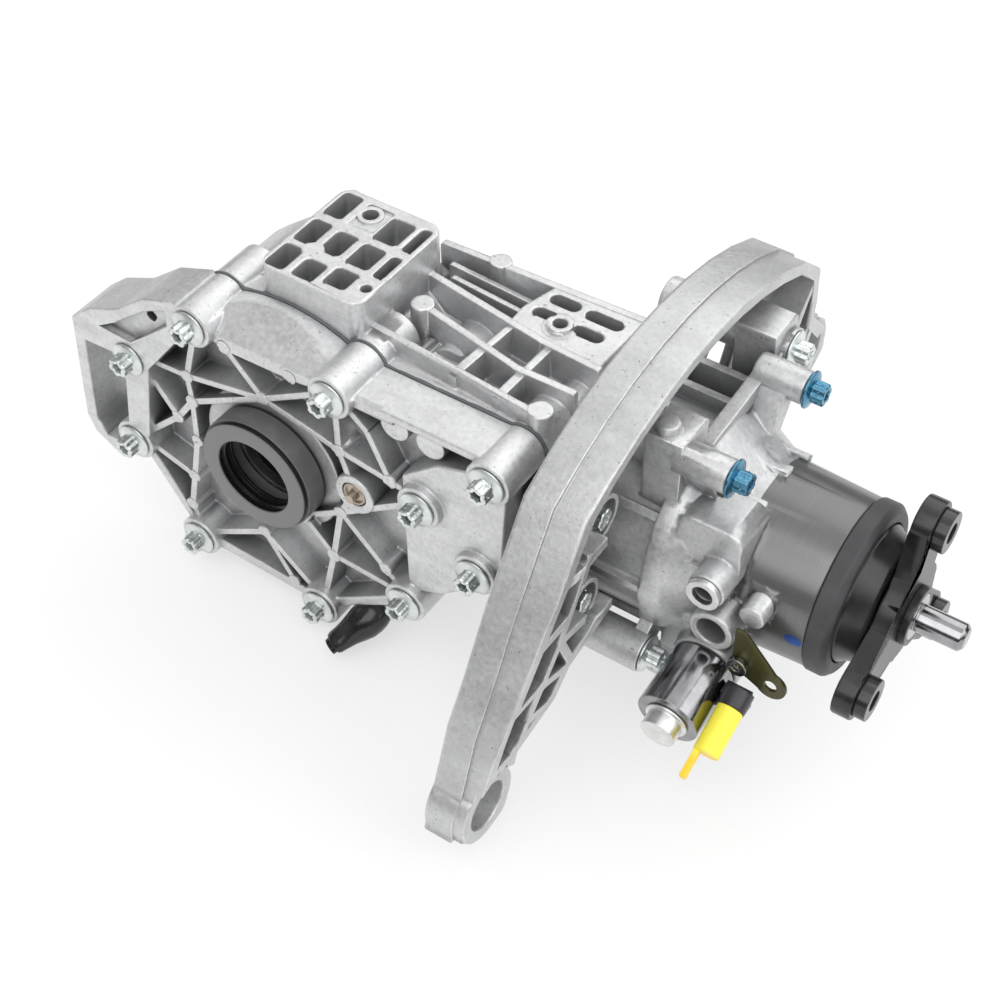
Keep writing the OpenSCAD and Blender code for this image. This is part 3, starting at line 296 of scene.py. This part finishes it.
def capFinish(name):
    f = Finish(name)
    low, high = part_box("connector_cap")
    edge = low.z + capTone["tipShare"] * (high.z - low.z)
    fine, broad = f.noise(900, 3), f.noise(120, 3)
    worn = scaled(capTone["body"], capTone["bodyWear"])
    body = f.mixed(f.between(broad, *capTone["wearSpread"]), capTone["body"], worn)
    above = f.between(f.along("Z"), edge - capTone["fade"], edge + capTone["fade"])
    colour = f.mixed(above, capTone["tip"], body)
    rough = f.between(fine, *noiseSpread, *capTone["roughness"])
    return f.done(colour, rough, 0.0, f.bump(fine, 0.00006, 0.5, 0.0005))


# Castings take a light, a dark and a painted pocket-shade tone; the others take a colour and a roughness
finishes = {
    "mainCasting": castFinish("mainCasting", 0.75, 0.55, 0.40),
    "coverCasting": castFinish("coverCasting", 0.74, 0.54, 0.15),
    "archCasting": castFinish("archCasting", 0.60, 0.45, 0.18),
    "clutchCasting": castFinish("clutchCasting", 0.66, 0.44, 0.24, tubeArea),
    "zincBolt": steelFinish("zincBolt", (0.80, 0.84, 0.83, 1), 0.3),
    "blueBolt": steelFinish("blueBolt", (0.11, 0.30, 0.44, 1), 0.26),
    "machinedSteel": steelFinish("machinedSteel", (0.70, 0.70, 0.70, 1), 0.22, (60, 2500, 60)),
    "gearSteel": steelFinish("gearSteel", (0.45, 0.45, 0.46, 1), 0.32),
    "polishedSteel": steelFinish("polishedSteel", (0.38, 0.38, 0.39, 1), 0.15, (90, 90, 90)),
    "canSteel": steelFinish("canSteel", (0.34, 0.34, 0.35, 1), 0.14, (700, 40, 700)),
    "ringSteel": steelFinish("ringSteel", (0.84, 0.84, 0.83, 1), 0.36),
    "mutedPlug": steelFinish("mutedPlug", (0.60, 0.53, 0.44, 1), 0.42),
    "cageBrass": steelFinish("cageBrass", (0.72, 0.55, 0.25, 1), 0.3),
    "blackRubber": softFinish("blackRubber", (0.035, 0.035, 0.038, 1), 0.5),
    "sealCap": sealFinish("sealCap"),
    "sealantGrey": softFinish("sealantGrey", (0.10, 0.105, 0.11, 1), 0.45, dust=1),
    "blackPaint": softFinish("blackPaint", (0.012, 0.012, 0.013, 1), 0.28, grain=1500, depth=0.00003),
    "blackGloss": softFinish("blackGloss", (0.02, 0.02, 0.022, 1), 0.2, grain=500, depth=0.00008),
    "blackPlastic": softFinish("blackPlastic", (0.022, 0.021, 0.026, 1), 0.3, dust=0.3),
    "glossBoot": softFinish("glossBoot", (0.012, 0.012, 0.013, 1), 0.16, grain=120, depth=0.0008),
    "yellowPlastic": capFinish("yellowPlastic"),
    "frictionLining": softFinish("frictionLining", (0.30, 0.22, 0.15, 1), 0.8),
    "tabPlate": softFinish("tabPlate", (0.060, 0.056, 0.018, 1), 0.3, metal=0.5, dust=0.2)}

slotFinish = {"cast_aluminium": "mainCasting", "machined_steel": "machinedSteel", "zinc_bolt": "zincBolt",
    "blue_zinc_bolt": "blueBolt", "black_rubber": "blackRubber", "grey_sealant": "sealantGrey",
    "black_flange": "blackPaint", "black_plastic": "blackPlastic", "yellow_plastic": "yellowPlastic",
    "gear_steel": "gearSteel", "cage_brass": "cageBrass", "friction_lining": "frictionLining",
    "tab_plate": "tabPlate"}
slotOf = {part["node"]: part["material_slot"] for part in frame["record"]["subparts"]}
for name, node in frame["nodes"].items():
    node.data.materials.clear()
    node.data.materials.append(finishes[slotFinish[slotOf[name]]])
print("finishes on", len(frame["nodes"]), "CAD nodes")


def newObject(name, bm):
    mesh = bpy.data.meshes.new(name)
    bm.to_mesh(mesh)
    bm.free()
    made = bpy.data.objects.new(name, mesh)
    scene.collection.objects.link(made)
    return made


# Pieces: each is built by bmesh in metres at its own place
def keepPiece(name, bm, finish, body, replaced=(), sharp=35):
    bmesh.ops.remove_doubles(bm, verts=bm.verts, dist=weldGap)
    bmesh.ops.recalc_face_normals(bm, faces=bm.faces)
    piece = newObject(name, bm)
    for face in piece.data.polygons:
        face.use_smooth = True
    piece.data.set_sharp_from_angle(angle=math.radians(sharp))
    piece.data.materials.append(finishes[finish])
    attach(piece, body)
    if replaced:
        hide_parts(*replaced)
    return piece


def nodeCopy(node, gap=weldGap):
    # a CAD node's mesh with its loose triangles joined
    copy = bmesh.new()
    copy.from_mesh(frame["nodes"][node].data)
    bmesh.ops.remove_doubles(copy, verts=copy.verts, dist=gap)
    return copy


def turned(bm, profile, steps):
    # a profile of (radius, height) in millimetres, spun round Z
    points = [bm.verts.new((r * mm, 0, z * mm)) for r, z in profile]
    lines = [bm.edges.new(pair) for pair in zip(points, points[1:])]
    bmesh.ops.spin(bm, geom=points + lines, cent=(0, 0, 0), axis=(0, 0, 1), angle=math.tau, steps=steps,
        use_merge=True, use_duplicate=False)


def placed(bm, start, place, direction, turn=0.0):
    # moves what was added after start from the Z axis to its own axis
    spot = Matrix.Translation(place) @ Vector(direction).to_track_quat("Z", "Y").to_matrix().to_4x4()
    bmesh.ops.transform(bm, matrix=spot @ Matrix.Rotation(turn, 4, "Z"), verts=bm.verts[start:])


def solidsOf(node):
    # lowest and highest corners of each separate solid in a CAD node
    copy = nodeCopy(node)
    copy.verts.index_update()
    seen, boxes = set(), []
    for first in copy.verts:
        if first.index in seen:
            continue
        seen.add(first.index)
        waiting, group = [first], []
        while waiting:
            vert = waiting.pop()
            group.append(vert.co.copy())
            for other in (edge.other_vert(vert) for edge in vert.link_edges):
                if other.index not in seen:
                    seen.add(other.index)
                    waiting.append(other)
        boxes.append([[pick(co[i] for co in group) for i in range(3)] for pick in (min, max)])
    copy.free()
    return boxes


# Flanged bolts with a star head, in millimetres
starBolt = {"washerRadius": 9.6, "washer": 1.5, "undercut": 1.2, "lift": 0.25, "coneRadius": 7.2, "cone": 2.7,
    "starRadius": 5.3, "lobes": 6, "lobe": 0.48, "lobeFlat": 0.08, "sunk": 0.6, "headTop": 9.0, "chamfer": 0.5,
    "rim": 1.6, "dish": 3.4, "dishWall": 0.5, "shankRadius": 3.97, "tip": 1, "sides": 60, "steps": 40,
    "firstTurn": 0.3, "nextTurn": 0.7}

def starBolts(name, node, finish, direction):
    b = starBolt
    washer, shank = b["washerRadius"], b["shankRadius"]
    bm = bmesh.new()
    axis = 0 if direction[0] else 1
    for count, (low, high) in enumerate(solidsOf(node)):
        start = len(bm.verts)
        length = (high[axis] - low[axis]) / mm - b["headTop"]
        turned(bm, [(0, -length), (shank - b["tip"], -length), (shank, b["tip"] - length), (shank, 0.0),
            (washer - b["undercut"], 0.0), (washer - b["undercut"], b["lift"]), (washer - 0.3, b["lift"]),
            (washer, 0.5), (washer, b["washer"] - 0.3), (washer - 0.35, b["washer"]),
            (b["coneRadius"], b["washer"] + 0.3), (b["starRadius"] + 0.6, b["cone"]),
            (0, b["cone"])], b["steps"])
        star = bmesh.ops.create_circle(bm, cap_ends=True, segments=b["sides"], radius=1)["verts"]
        for vert in star:
            angle = math.atan2(vert.co.y, vert.co.x)
            swing = b["lobes"] * angle
            wave = b["lobe"] * math.cos(swing) - b["lobeFlat"] * math.cos(2 * swing)
            reach = (b["starRadius"] + wave) * mm
            vert.co = (reach * math.cos(angle), reach * math.sin(angle), (b["cone"] - b["sunk"]) * mm)
        top = bmesh.ops.extrude_face_region(bm, geom=list(star[0].link_faces))["geom"]
        rise = b["headTop"] - b["cone"] + b["sunk"] - b["chamfer"]
        raised = [v for v in top if isinstance(v, bmesh.types.BMVert)]
        bmesh.ops.translate(bm, verts=raised, vec=(0, 0, rise * mm))
        top = [f for f in top if isinstance(f, bmesh.types.BMFace)]
        for wide, deep in ((b["chamfer"], b["chamfer"]), (b["rim"], 0), (b["dishWall"], -b["dish"])):
            bmesh.ops.inset_region(bm, faces=top, thickness=wide * mm, depth=deep * mm, use_even_offset=True)
        place = [(low[i] + high[i]) / 2 for i in range(3)]
        place[axis] = high[axis] - b["headTop"] * mm if direction[axis] > 0 else low[axis] + b["headTop"] * mm
        placed(bm, start, place, direction, b["nextTurn"] * count + b["firstTurn"])
    keepPiece(name, bm, finish, "housing", [node])


starBolts("coverBolts", "cover_bolts", "zincBolt", (0, -1, 0))
starBolts("archBolts", "bracket_bolts", "zincBolt", (1, 0, 0))
starBolts("housingBolts", "housing_bolts", "zincBolt", (1, 0, 0))
starBolts("tubeBolts", "tube_bolts", "blueBolt", (1, 0, 0))
print("star bolts made")

# Sealant squeezed out along the joint of cover and housing
bead = {"radius": 0.00075, "uneven": 0.00045, "sink": 0.0002, "step": 0.003, "waves": 180, "roundness": 2,
    "flatFace": 0.99}

def outerLoop(node, normal):
    # the longest rim of the faces that look along normal
    copy = nodeCopy(node)
    way = Vector(normal)
    flat = {face for face in copy.faces if face.normal.dot(way) > bead["flatFace"]}
    rim = [edge for edge in copy.edges if sum(face in flat for face in edge.link_faces) == 1]
    after = {}
    for edge in rim:
        for vert in edge.verts:
            after.setdefault(vert, []).append(edge.other_vert(vert))
    loops, used = [], set()
    for first in after:
        if first in used:
            continue
        loop, vert = [], first
        while vert and vert not in used:
            used.add(vert)
            loop.append(vert.co.copy())
            vert = next((v for v in after[vert] if v not in used), None)
        loops.append(loop)
    copy.free()
    return max(loops, key=lambda loop: sum((a - b).length for a, b in zip(loop, loop[1:])))


rimPoints = outerLoop("cover_gasket", (0, -1, 0))
gasketLow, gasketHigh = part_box("cover_gasket")
path = []
for a, b in zip(rimPoints, rimPoints[1:] + rimPoints[:1]):
    parts = max(1, round((b - a).length / bead["step"]))
    path += [a.lerp(b, k / parts) for k in range(parts)]
beadCurve = bpy.data.curves.new("sealantBead", "CURVE")
beadCurve.dimensions = "3D"
beadCurve.bevel_depth = bead["radius"]
beadCurve.bevel_resolution = bead["roundness"]
line = beadCurve.splines.new("POLY")
line.points.add(len(path) - 1)
for point, co in zip(line.points, path):
    wave = noise.noise(co * bead["waves"])
    point.co = (co.x, (gasketLow.y + gasketHigh.y) / 2 + wave * bead["sink"], co.z, 1)
    point.radius = 1 + wave * bead["uneven"] / bead["radius"]
line.use_cyclic_u = True
beadShape = bpy.data.objects.new("sealantShape", beadCurve)
scene.collection.objects.link(beadShape)
bpy.context.view_layer.update()
bm = bmesh.new()
bm.from_mesh(beadShape.evaluated_get(bpy.context.evaluated_depsgraph_get()).to_mesh())
bpy.data.objects.remove(beadShape)
keepPiece("sealantBead", bm, "sealantGrey", "housing")
print("sealant laid along", len(path), "points")

# Left seal, in millimetres: flat ring, groove behind it, stepped cap, lips in the bore
sealCap = {"outer": 33.0, "bore": 21.7, "depth": 15.5, "sleeve": 25, "sleeveStart": 12, "sleeveTail": 3,
    "steps": 96}
o, c, d = sealCap["outer"], sealCap["bore"], sealCap["depth"]
sleeve, tail = sealCap["sleeve"], d + sealCap["sleeveTail"]
bm = bmesh.new()
turned(bm, [(c + 0.5, 0), (o - 2.0, 0), (o - 1.6, 0.15), (o - 1.4, 0.5), (o - 1.5, 1.1), (o - 2.3, 1.3),
    (o - 2.3, 2.6), (o - 0.9, 2.9), (o - 0.2, 3.2), (o, 3.8), (o, d - 1), (o - 0.6, d - 0.4), (o - 3.2, d),
    (o - 3.2, tail), (sleeve, tail), (sleeve, sealCap["sleeveStart"]), (c + 0.2, 11), (c - 0.1, 9.6),
    (c + 1.6, 8.8), (c + 1.6, 6.4), (c, 5.6), (c - 0.2, 4.8), (c + 1.0, 4.2), (c + 1.0, 2.2), (c, 1.6),
    (c, 0.5), (c + 0.5, 0)], sealCap["steps"])
placed(bm, 0, (0, 0, 0), (0, 1, 0))
keepPiece("leftSealCap", bm, "sealCap", "housing", ["left_seal"])

# Boot of the breather: round collar, spout that flattens towards its end
# Each ring: height along the boot, half width, half thickness, shift of its middle, in millimetres
boot = {"place": (0.0610, 0.0215, -0.0775), "toward": (-0.44, -0.72, -0.54), "sides": 28, "sharp": 60,
    "rings": [(0, 5.0, 5.0, 0), (2, 7.6, 7.6, 0), (6, 9.2, 9.2, 0), (10, 9.8, 9.8, 0), (15, 9.8, 9.6, 0),
        (19, 8.8, 8.4, 0.2), (24, 7.6, 6.8, 0.8), (29, 7.2, 5.4, 1.4), (32.5, 7.0, 4.8, 1.8),
        (34, 6.4, 4.2, 1.8)],
    "lip": 1.0, "lipRise": 0.3, "mouthWall": 0.3, "mouth": 3.0}
bm = bmesh.new()
wide, thick, shift = boot["rings"][0][1:]
bmesh.ops.create_circle(bm, cap_ends=True, segments=boot["sides"], radius=wide * mm)
edges = list(bm.edges)
for height, newWide, newThick, newShift in boot["rings"][1:]:
    grown = bmesh.ops.extrude_edge_only(bm, edges=edges)["geom"]
    edges = [item for item in grown if isinstance(item, bmesh.types.BMEdge)]
    for vert in (item for item in grown if isinstance(item, bmesh.types.BMVert)):
        angle = math.atan2((vert.co.y / mm - shift) / thick, vert.co.x / mm / wide)
        vert.co = (newWide * math.cos(angle) * mm, (newThick * math.sin(angle) + newShift) * mm, height * mm)
    wide, thick, shift = newWide, newThick, newShift
end = bmesh.ops.contextual_create(bm, geom=edges)["faces"]
bmesh.ops.inset_region(bm, faces=end, thickness=boot["lip"] * mm, depth=boot["lipRise"] * mm)
bmesh.ops.inset_region(bm, faces=end, thickness=boot["mouthWall"] * mm, depth=-boot["mouth"] * mm)
placed(bm, 0, boot["place"], boot["toward"])
keepPiece("breatherBoot", bm, "glossBoot", "housing", ["breather_hose"], boot["sharp"])
print("seal and boot made")

# Plug of the cover, in millimetres: stepped collar with a round socket
collarPlug = {"collar": 6.9, "step": 5.3, "stepDepth": 1.2, "socket": 2.6, "socketDepth": 5, "proud": 3.6,
    "chamfer": 0.8, "softEdge": 0.3, "socketRim": 0.4, "socketWall": 0.05, "steps": 40}
p = collarPlug
plugLow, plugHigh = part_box("level_plug")
deep = (plugHigh.y - plugLow.y) / mm
floorHeight = p["proud"] - p["stepDepth"]
bm = bmesh.new()
turned(bm, [(0, -deep), (p["collar"] - p["chamfer"], -deep), (p["collar"], p["chamfer"] - deep),
    (p["collar"], p["proud"] - p["chamfer"]), (p["collar"] - 0.6, p["proud"]),
    (p["step"] + p["softEdge"], p["proud"]), (p["step"], p["proud"] - p["softEdge"]), (p["step"], floorHeight),
    (p["socket"] + p["socketRim"], floorHeight)], p["steps"])
rim = [edge for edge in bm.edges if edge.is_boundary]
end = bmesh.ops.contextual_create(bm, geom=rim)["faces"]
bmesh.ops.inset_region(bm, faces=end, thickness=p["socketRim"] * mm, depth=-p["softEdge"] * mm)
bmesh.ops.inset_region(bm, faces=end, thickness=p["socketWall"] * mm, depth=-p["socketDepth"] * mm)
placed(bm, 0, ((plugLow.x + plugHigh.x) / 2, plugLow.y, (plugLow.z + plugHigh.z) / 2), (0, -1, 0))
keepPiece("levelPlug", bm, "mutedPlug", "housing", ["level_plug"])

# Black hub behind the flange, in millimetres: a drum with a stepped cone
blackHub = {"bore": 16, "drum": 9.4, "cone": 30.9, "nose": 29.2, "steps": 96}
bore, nose = blackHub["bore"], blackHub["nose"]
hubLow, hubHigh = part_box("seal_shield")
wide, deep = (hubHigh.y - hubLow.y) / 2 / mm, (hubHigh.x - hubLow.x) / mm
bm = bmesh.new()
turned(bm, [(bore, 0), (wide - 0.8, 0), (wide - 0.2, 0.3), (wide, 1), (wide, blackHub["drum"]),
    (wide - 0.4, blackHub["drum"] + 1), (wide - 1.6, blackHub["drum"] + 2), (blackHub["cone"], deep - 1.4),
    (nose + 1, deep - 0.5), (nose, deep), (bore, deep), (bore, 0)], blackHub["steps"])
placed(bm, 0, (hubLow.x, axleReach, 0), (1, 0, 0))
keepPiece("blackHub", bm, "blackPaint", "input", ["seal_shield"])

# Parts that keep the solid's shape get real rounded edges wherever both faces leave room for them
# Angles are in degrees; room, shortest, keepOff and lift are shares of the rounding's width
softEdge = {"leastAngle": 42, "flatAngle": 0.4, "sharp": 32, "weldGap": 2e-6, "room": 2.1,
    "roomShares": (0.12, 0.5, 0.88), "flatness": 0.00012, "sameWay": 0.9, "shortest": 1.1, "crease": 0.1,
    "segments": 2, "rounds": 7, "sliver": 2e-8, "lift": 0.5, "foldedBack": -0.1, "twisted": 0.5,
    "keepOff": 2, "edgeShares": (0, 0.25, 0.5, 0.75, 1)}

def roomBeside(tree, loop, reach):
    # the loop's face goes on for this reach beside its edge
    first, second, way = loop.vert.co, loop.link_loop_next.vert.co, loop.face.normal
    inward = way.cross(second - first).normalized() * reach
    for share in softEdge["roomShares"]:
        spot, normal, index, gap = tree.find_nearest(first.lerp(second, share) + inward)
        if spot is None or gap > softEdge["flatness"] or normal.dot(way) < softEdge["sameWay"]:
            return False
    return True


def faultSpots(bm, tree, width):
    # where the bevel folded a face over, or left the solid's surface
    spots = []
    for corners in bm.calc_loop_triangles():
        a, b, c = (loop.vert.co for loop in corners)
        way = (b - a).cross(c - a)
        if way.length < softEdge["sliver"]:
            continue
        middle = (a + b + c) / 3
        spot, normal, index, gap = tree.find_nearest(middle)
        way.normalize()
        lifted = gap > width * softEdge["lift"] * mm
        twisted = way.dot(corners[0].face.normal) < softEdge["twisted"]
        if lifted or twisted or way.dot(normal) < softEdge["foldedBack"]:
            spots.append(middle)
    return spots


def edgesToRound(start, tree, width):
    # sharp edges with room on both faces, apart from those that meet a short edge that stays
    least, reach = math.radians(softEdge["leastAngle"]), width * softEdge["room"] * mm
    joined = [edge for edge in start.edges if len(edge.link_faces) == 2]
    picked = {edge.index for edge in joined if edge.calc_face_angle(0) > least
        and all(roomBeside(tree, loop, reach) for loop in edge.link_loops)}
    shortest, crease = width * softEdge["shortest"] * mm, softEdge["crease"]
    for vert in start.verts:
        others = (edge for edge in vert.link_edges if len(edge.link_faces) == 2 and edge.index not in picked)
        if any(edge.calc_length() < shortest and edge.calc_face_angle(0) > crease for edge in others):
            picked -= {edge.index for edge in vert.link_edges}
    return picked


def clearOf(spots, start, picked, width):
    # the picked edges that keep away from every fault
    near = KDTree(len(spots))
    for count, spot in enumerate(spots):
        near.insert(spot, count)
    near.balance()
    start.edges.ensure_lookup_table()
    clear = set()
    for i in picked:
        first, second = (vert.co for vert in start.edges[i].verts)
        gaps = (near.find(first.lerp(second, share))[2] for share in softEdge["edgeShares"])
        if all(gap > width * softEdge["keepOff"] * mm for gap in gaps):
            clear.add(i)
    return clear


def rounded(node, name, finish, body, width):
    start = nodeCopy(node, softEdge["weldGap"])
    bmesh.ops.dissolve_limit(start, angle_limit=math.radians(softEdge["flatAngle"]), verts=start.verts,
        edges=start.edges)
    bmesh.ops.recalc_face_normals(start, faces=start.faces)
    tree = BVHTree.FromBMesh(start)
    start.edges.index_update()
    picked = edgesToRound(start, tree, width)
    first = len(picked)
    for attempt in range(softEdge["rounds"]):
        bm = start.copy()
        bm.edges.ensure_lookup_table()
        bmesh.ops.bevel(bm, geom=[bm.edges[i] for i in picked], offset=width * mm, offset_type="OFFSET",
            segments=softEdge["segments"], profile=0.5, affect="EDGES", clamp_overlap=False, material=-1,
            loop_slide=True)
        bm.normal_update()
        spots = faultSpots(bm, tree, width)
        if not spots:
            break
        kept = clearOf(spots, start, picked, width)
        if kept == picked:
            break
        picked = kept
        if attempt < softEdge["rounds"] - 1:
            bm.free()
    print(node, "edges rounded:", len(picked), "of", first, "faults left:", len(spots),
        "rounds:", attempt + 1)
    start.free()
    piece = keepPiece(name, bm, finish, body, [node], softEdge["sharp"])
    piece.modifiers.new("evenNormals", "WEIGHTED_NORMAL").keep_sharp = True


# Each node: its piece's name, finish and body, and the rounding's width in millimetres
roundedParts = {
    "mount_bracket": ("castArch", "archCasting", "housing", 1.6),
    "side_cover": ("castCover", "coverCasting", "housing", 1.1),
    "main_housing": ("castHousing", "mainCasting", "housing", 1.3),
    "clutch_housing": ("castFront", "clutchCasting", "housing", 1.6),
    "input_flange": ("flangeArms", "blackPaint", "input", 1.1),
    "flange_bushes": ("armBushes", "blackGloss", "input", 0.5),
    "flange_nut": ("flangeNut", "blackPaint", "input", 0.5),
    "input_shaft": ("inputShaft", "polishedSteel", "input", 0.5),
    "dust_ring": ("dustRing", "blackRubber", "housing", 0.8),
    "solenoid_can": ("valveCan", "canSteel", "housing", 0.7),
    "solenoid_plug": ("valvePlug", "ringSteel", "housing", 0.7),
    "connector": ("connectorBody", "blackPlastic", "housing", 0.8),
    "connector_cap": ("connectorCap", "yellowPlastic", "housing", 0.6),
    "retaining_tab": ("holdTab", "tabPlate", "housing", 0.35),
    "tab_screw": ("tabScrew", "polishedSteel", "housing", 0.5),
    "port_ring": ("portRing", "ringSteel", "housing", 0.4)}
for node, (name, finish, body, width) in roundedParts.items():
    rounded(node, name, finish, body, width)
print("parts rounded:", len(roundedParts))

# Floor, world and soft boxes; each soft box has a place, a size and a power
studio = {"middle": (0.1, 0.1), "floorReach": 4, "floorTones": (0.90, 0.93), "floorGlow": 0.55,
    "fillStrength": 0.85,
    "flags": {"radius": 2.2, "height": 1.0, "sides": 48, "tones": (0.07, 0.1)},
    "card": {"place": (-0.95, -0.98, 1.18), "size": (0.75, 0.95), "tones": (0.22, 0.3)},
    "clothScale": 60, "clothRoughness": 0.9, "paperScale": 400,
    "lamps": {"keyBox": ((0.35, -1.15, 1.5), 1.7, 14), "rearBox": ((0.3, 1.3, 1.2), 1.7, 8),
        "frontBox": ((1.5, 0.1, 0.9), 1.4, 8)}}
whiteRays = ("Is Camera Ray", "Is Glossy Ray", "Is Transmission Ray")

bm = bmesh.new()
bmesh.ops.create_grid(bm, x_segments=1, y_segments=1, size=studio["floorReach"])
bmesh.ops.translate(bm, verts=bm.verts, vec=(0, 0, cadLow.z))
floor = newObject("floor", bm)
paper = Finish("floorPaper")
paperColour = paper.mixed(paper.noise(studio["paperScale"], 2), *(grey(tone) for tone in studio["floorTones"]))
lit = paper.add("ShaderNodeBsdfDiffuse", {}, {"Color": paperColour})
glow = paper.add("ShaderNodeEmission", {}, {"Color": (1, 1, 1, 1), "Strength": 1.0})
cameraRay, glossyRay, throughRay = (paper.add("ShaderNodeLightPath", {}, {}, ray) for ray in whiteRays)
share = (cameraRay + glossyRay + throughRay) * studio["floorGlow"]
blend = paper.add("ShaderNodeMixShader", {}, {0: share, 1: lit, 2: glow})
paper.add("ShaderNodeOutputMaterial", {}, {"Surface": blend})
floor.data.materials.append(paper.material)


# Dark cloth round the set and a grey card at its left give bright metal something to reflect
def darkCloth(name, bm, tones):
    # only reflections see it: the camera doesn't, and it casts no shadow
    dark = newObject(name, bm)
    cloth = Finish(name)
    colour = cloth.mixed(cloth.noise(studio["clothScale"], 2), *(grey(tone) for tone in tones))
    dark.data.materials.append(cloth.done(colour, studio["clothRoughness"]))
    dark.visible_camera = dark.visible_diffuse = dark.visible_shadow = False


flags = studio["flags"]
bm = bmesh.new()
bmesh.ops.create_cone(bm, cap_ends=False, segments=flags["sides"], radius1=flags["radius"],
    radius2=flags["radius"], depth=flags["height"])
bmesh.ops.translate(bm, verts=bm.verts, vec=(*studio["middle"], cadLow.z + flags["height"] / 2))
darkCloth("darkFlags", bm, flags["tones"])
card = studio["card"]
inwards = Vector((*studio["middle"], 0)) - Vector(card["place"])
towards = inwards.to_track_quat("Z", "Y").to_matrix().to_4x4()
bm = bmesh.new()
bmesh.ops.create_grid(bm, x_segments=1, y_segments=1, size=1)
bmesh.ops.scale(bm, verts=bm.verts, vec=(*card["size"], 1))
bmesh.ops.transform(bm, verts=bm.verts, matrix=Matrix.Translation(card["place"]) @ towards)
darkCloth("leftCard", bm, card["tones"])

# The world is white to the camera and in reflections, and a little softer as a light
world = bpy.data.worlds.new("room")
scene.world = world
world.use_nodes = True
nodes, links = world.node_tree.nodes, world.node_tree.links
nodes.clear()
rays = nodes.new("ShaderNodeLightPath")
seen = rays.outputs[whiteRays[0]]
for ray in whiteRays[1:]:
    either = nodes.new("ShaderNodeMath")
    either.operation = "MAXIMUM"
    links.new(seen, either.inputs[0])
    links.new(rays.outputs[ray], either.inputs[1])
    seen = either.outputs[0]
choice = nodes.new("ShaderNodeMixShader")
links.new(seen, choice.inputs[0])
for socket, strength in ((1, studio["fillStrength"]), (2, 1.0)):
    light = nodes.new("ShaderNodeBackground")
    light.inputs["Color"].default_value = (1, 1, 1, 1)
    light.inputs["Strength"].default_value = strength
    links.new(light.outputs[0], choice.inputs[socket])
links.new(choice.outputs[0], nodes.new("ShaderNodeOutputWorld").inputs["Surface"])

centre = (cadLow + cadHigh) / 2
for name, (place, size, power) in studio["lamps"].items():
    lamp = bpy.data.objects.new(name, bpy.data.lights.new(name, "AREA"))
    lamp.data.size, lamp.data.energy = size, power
    lamp.location = place
    lamp.rotation_euler = (centre - Vector(place)).to_track_quat("-Z", "Y").to_euler()
    scene.collection.objects.link(lamp)
scene.view_settings.view_transform = "Standard"
print("studio lit")
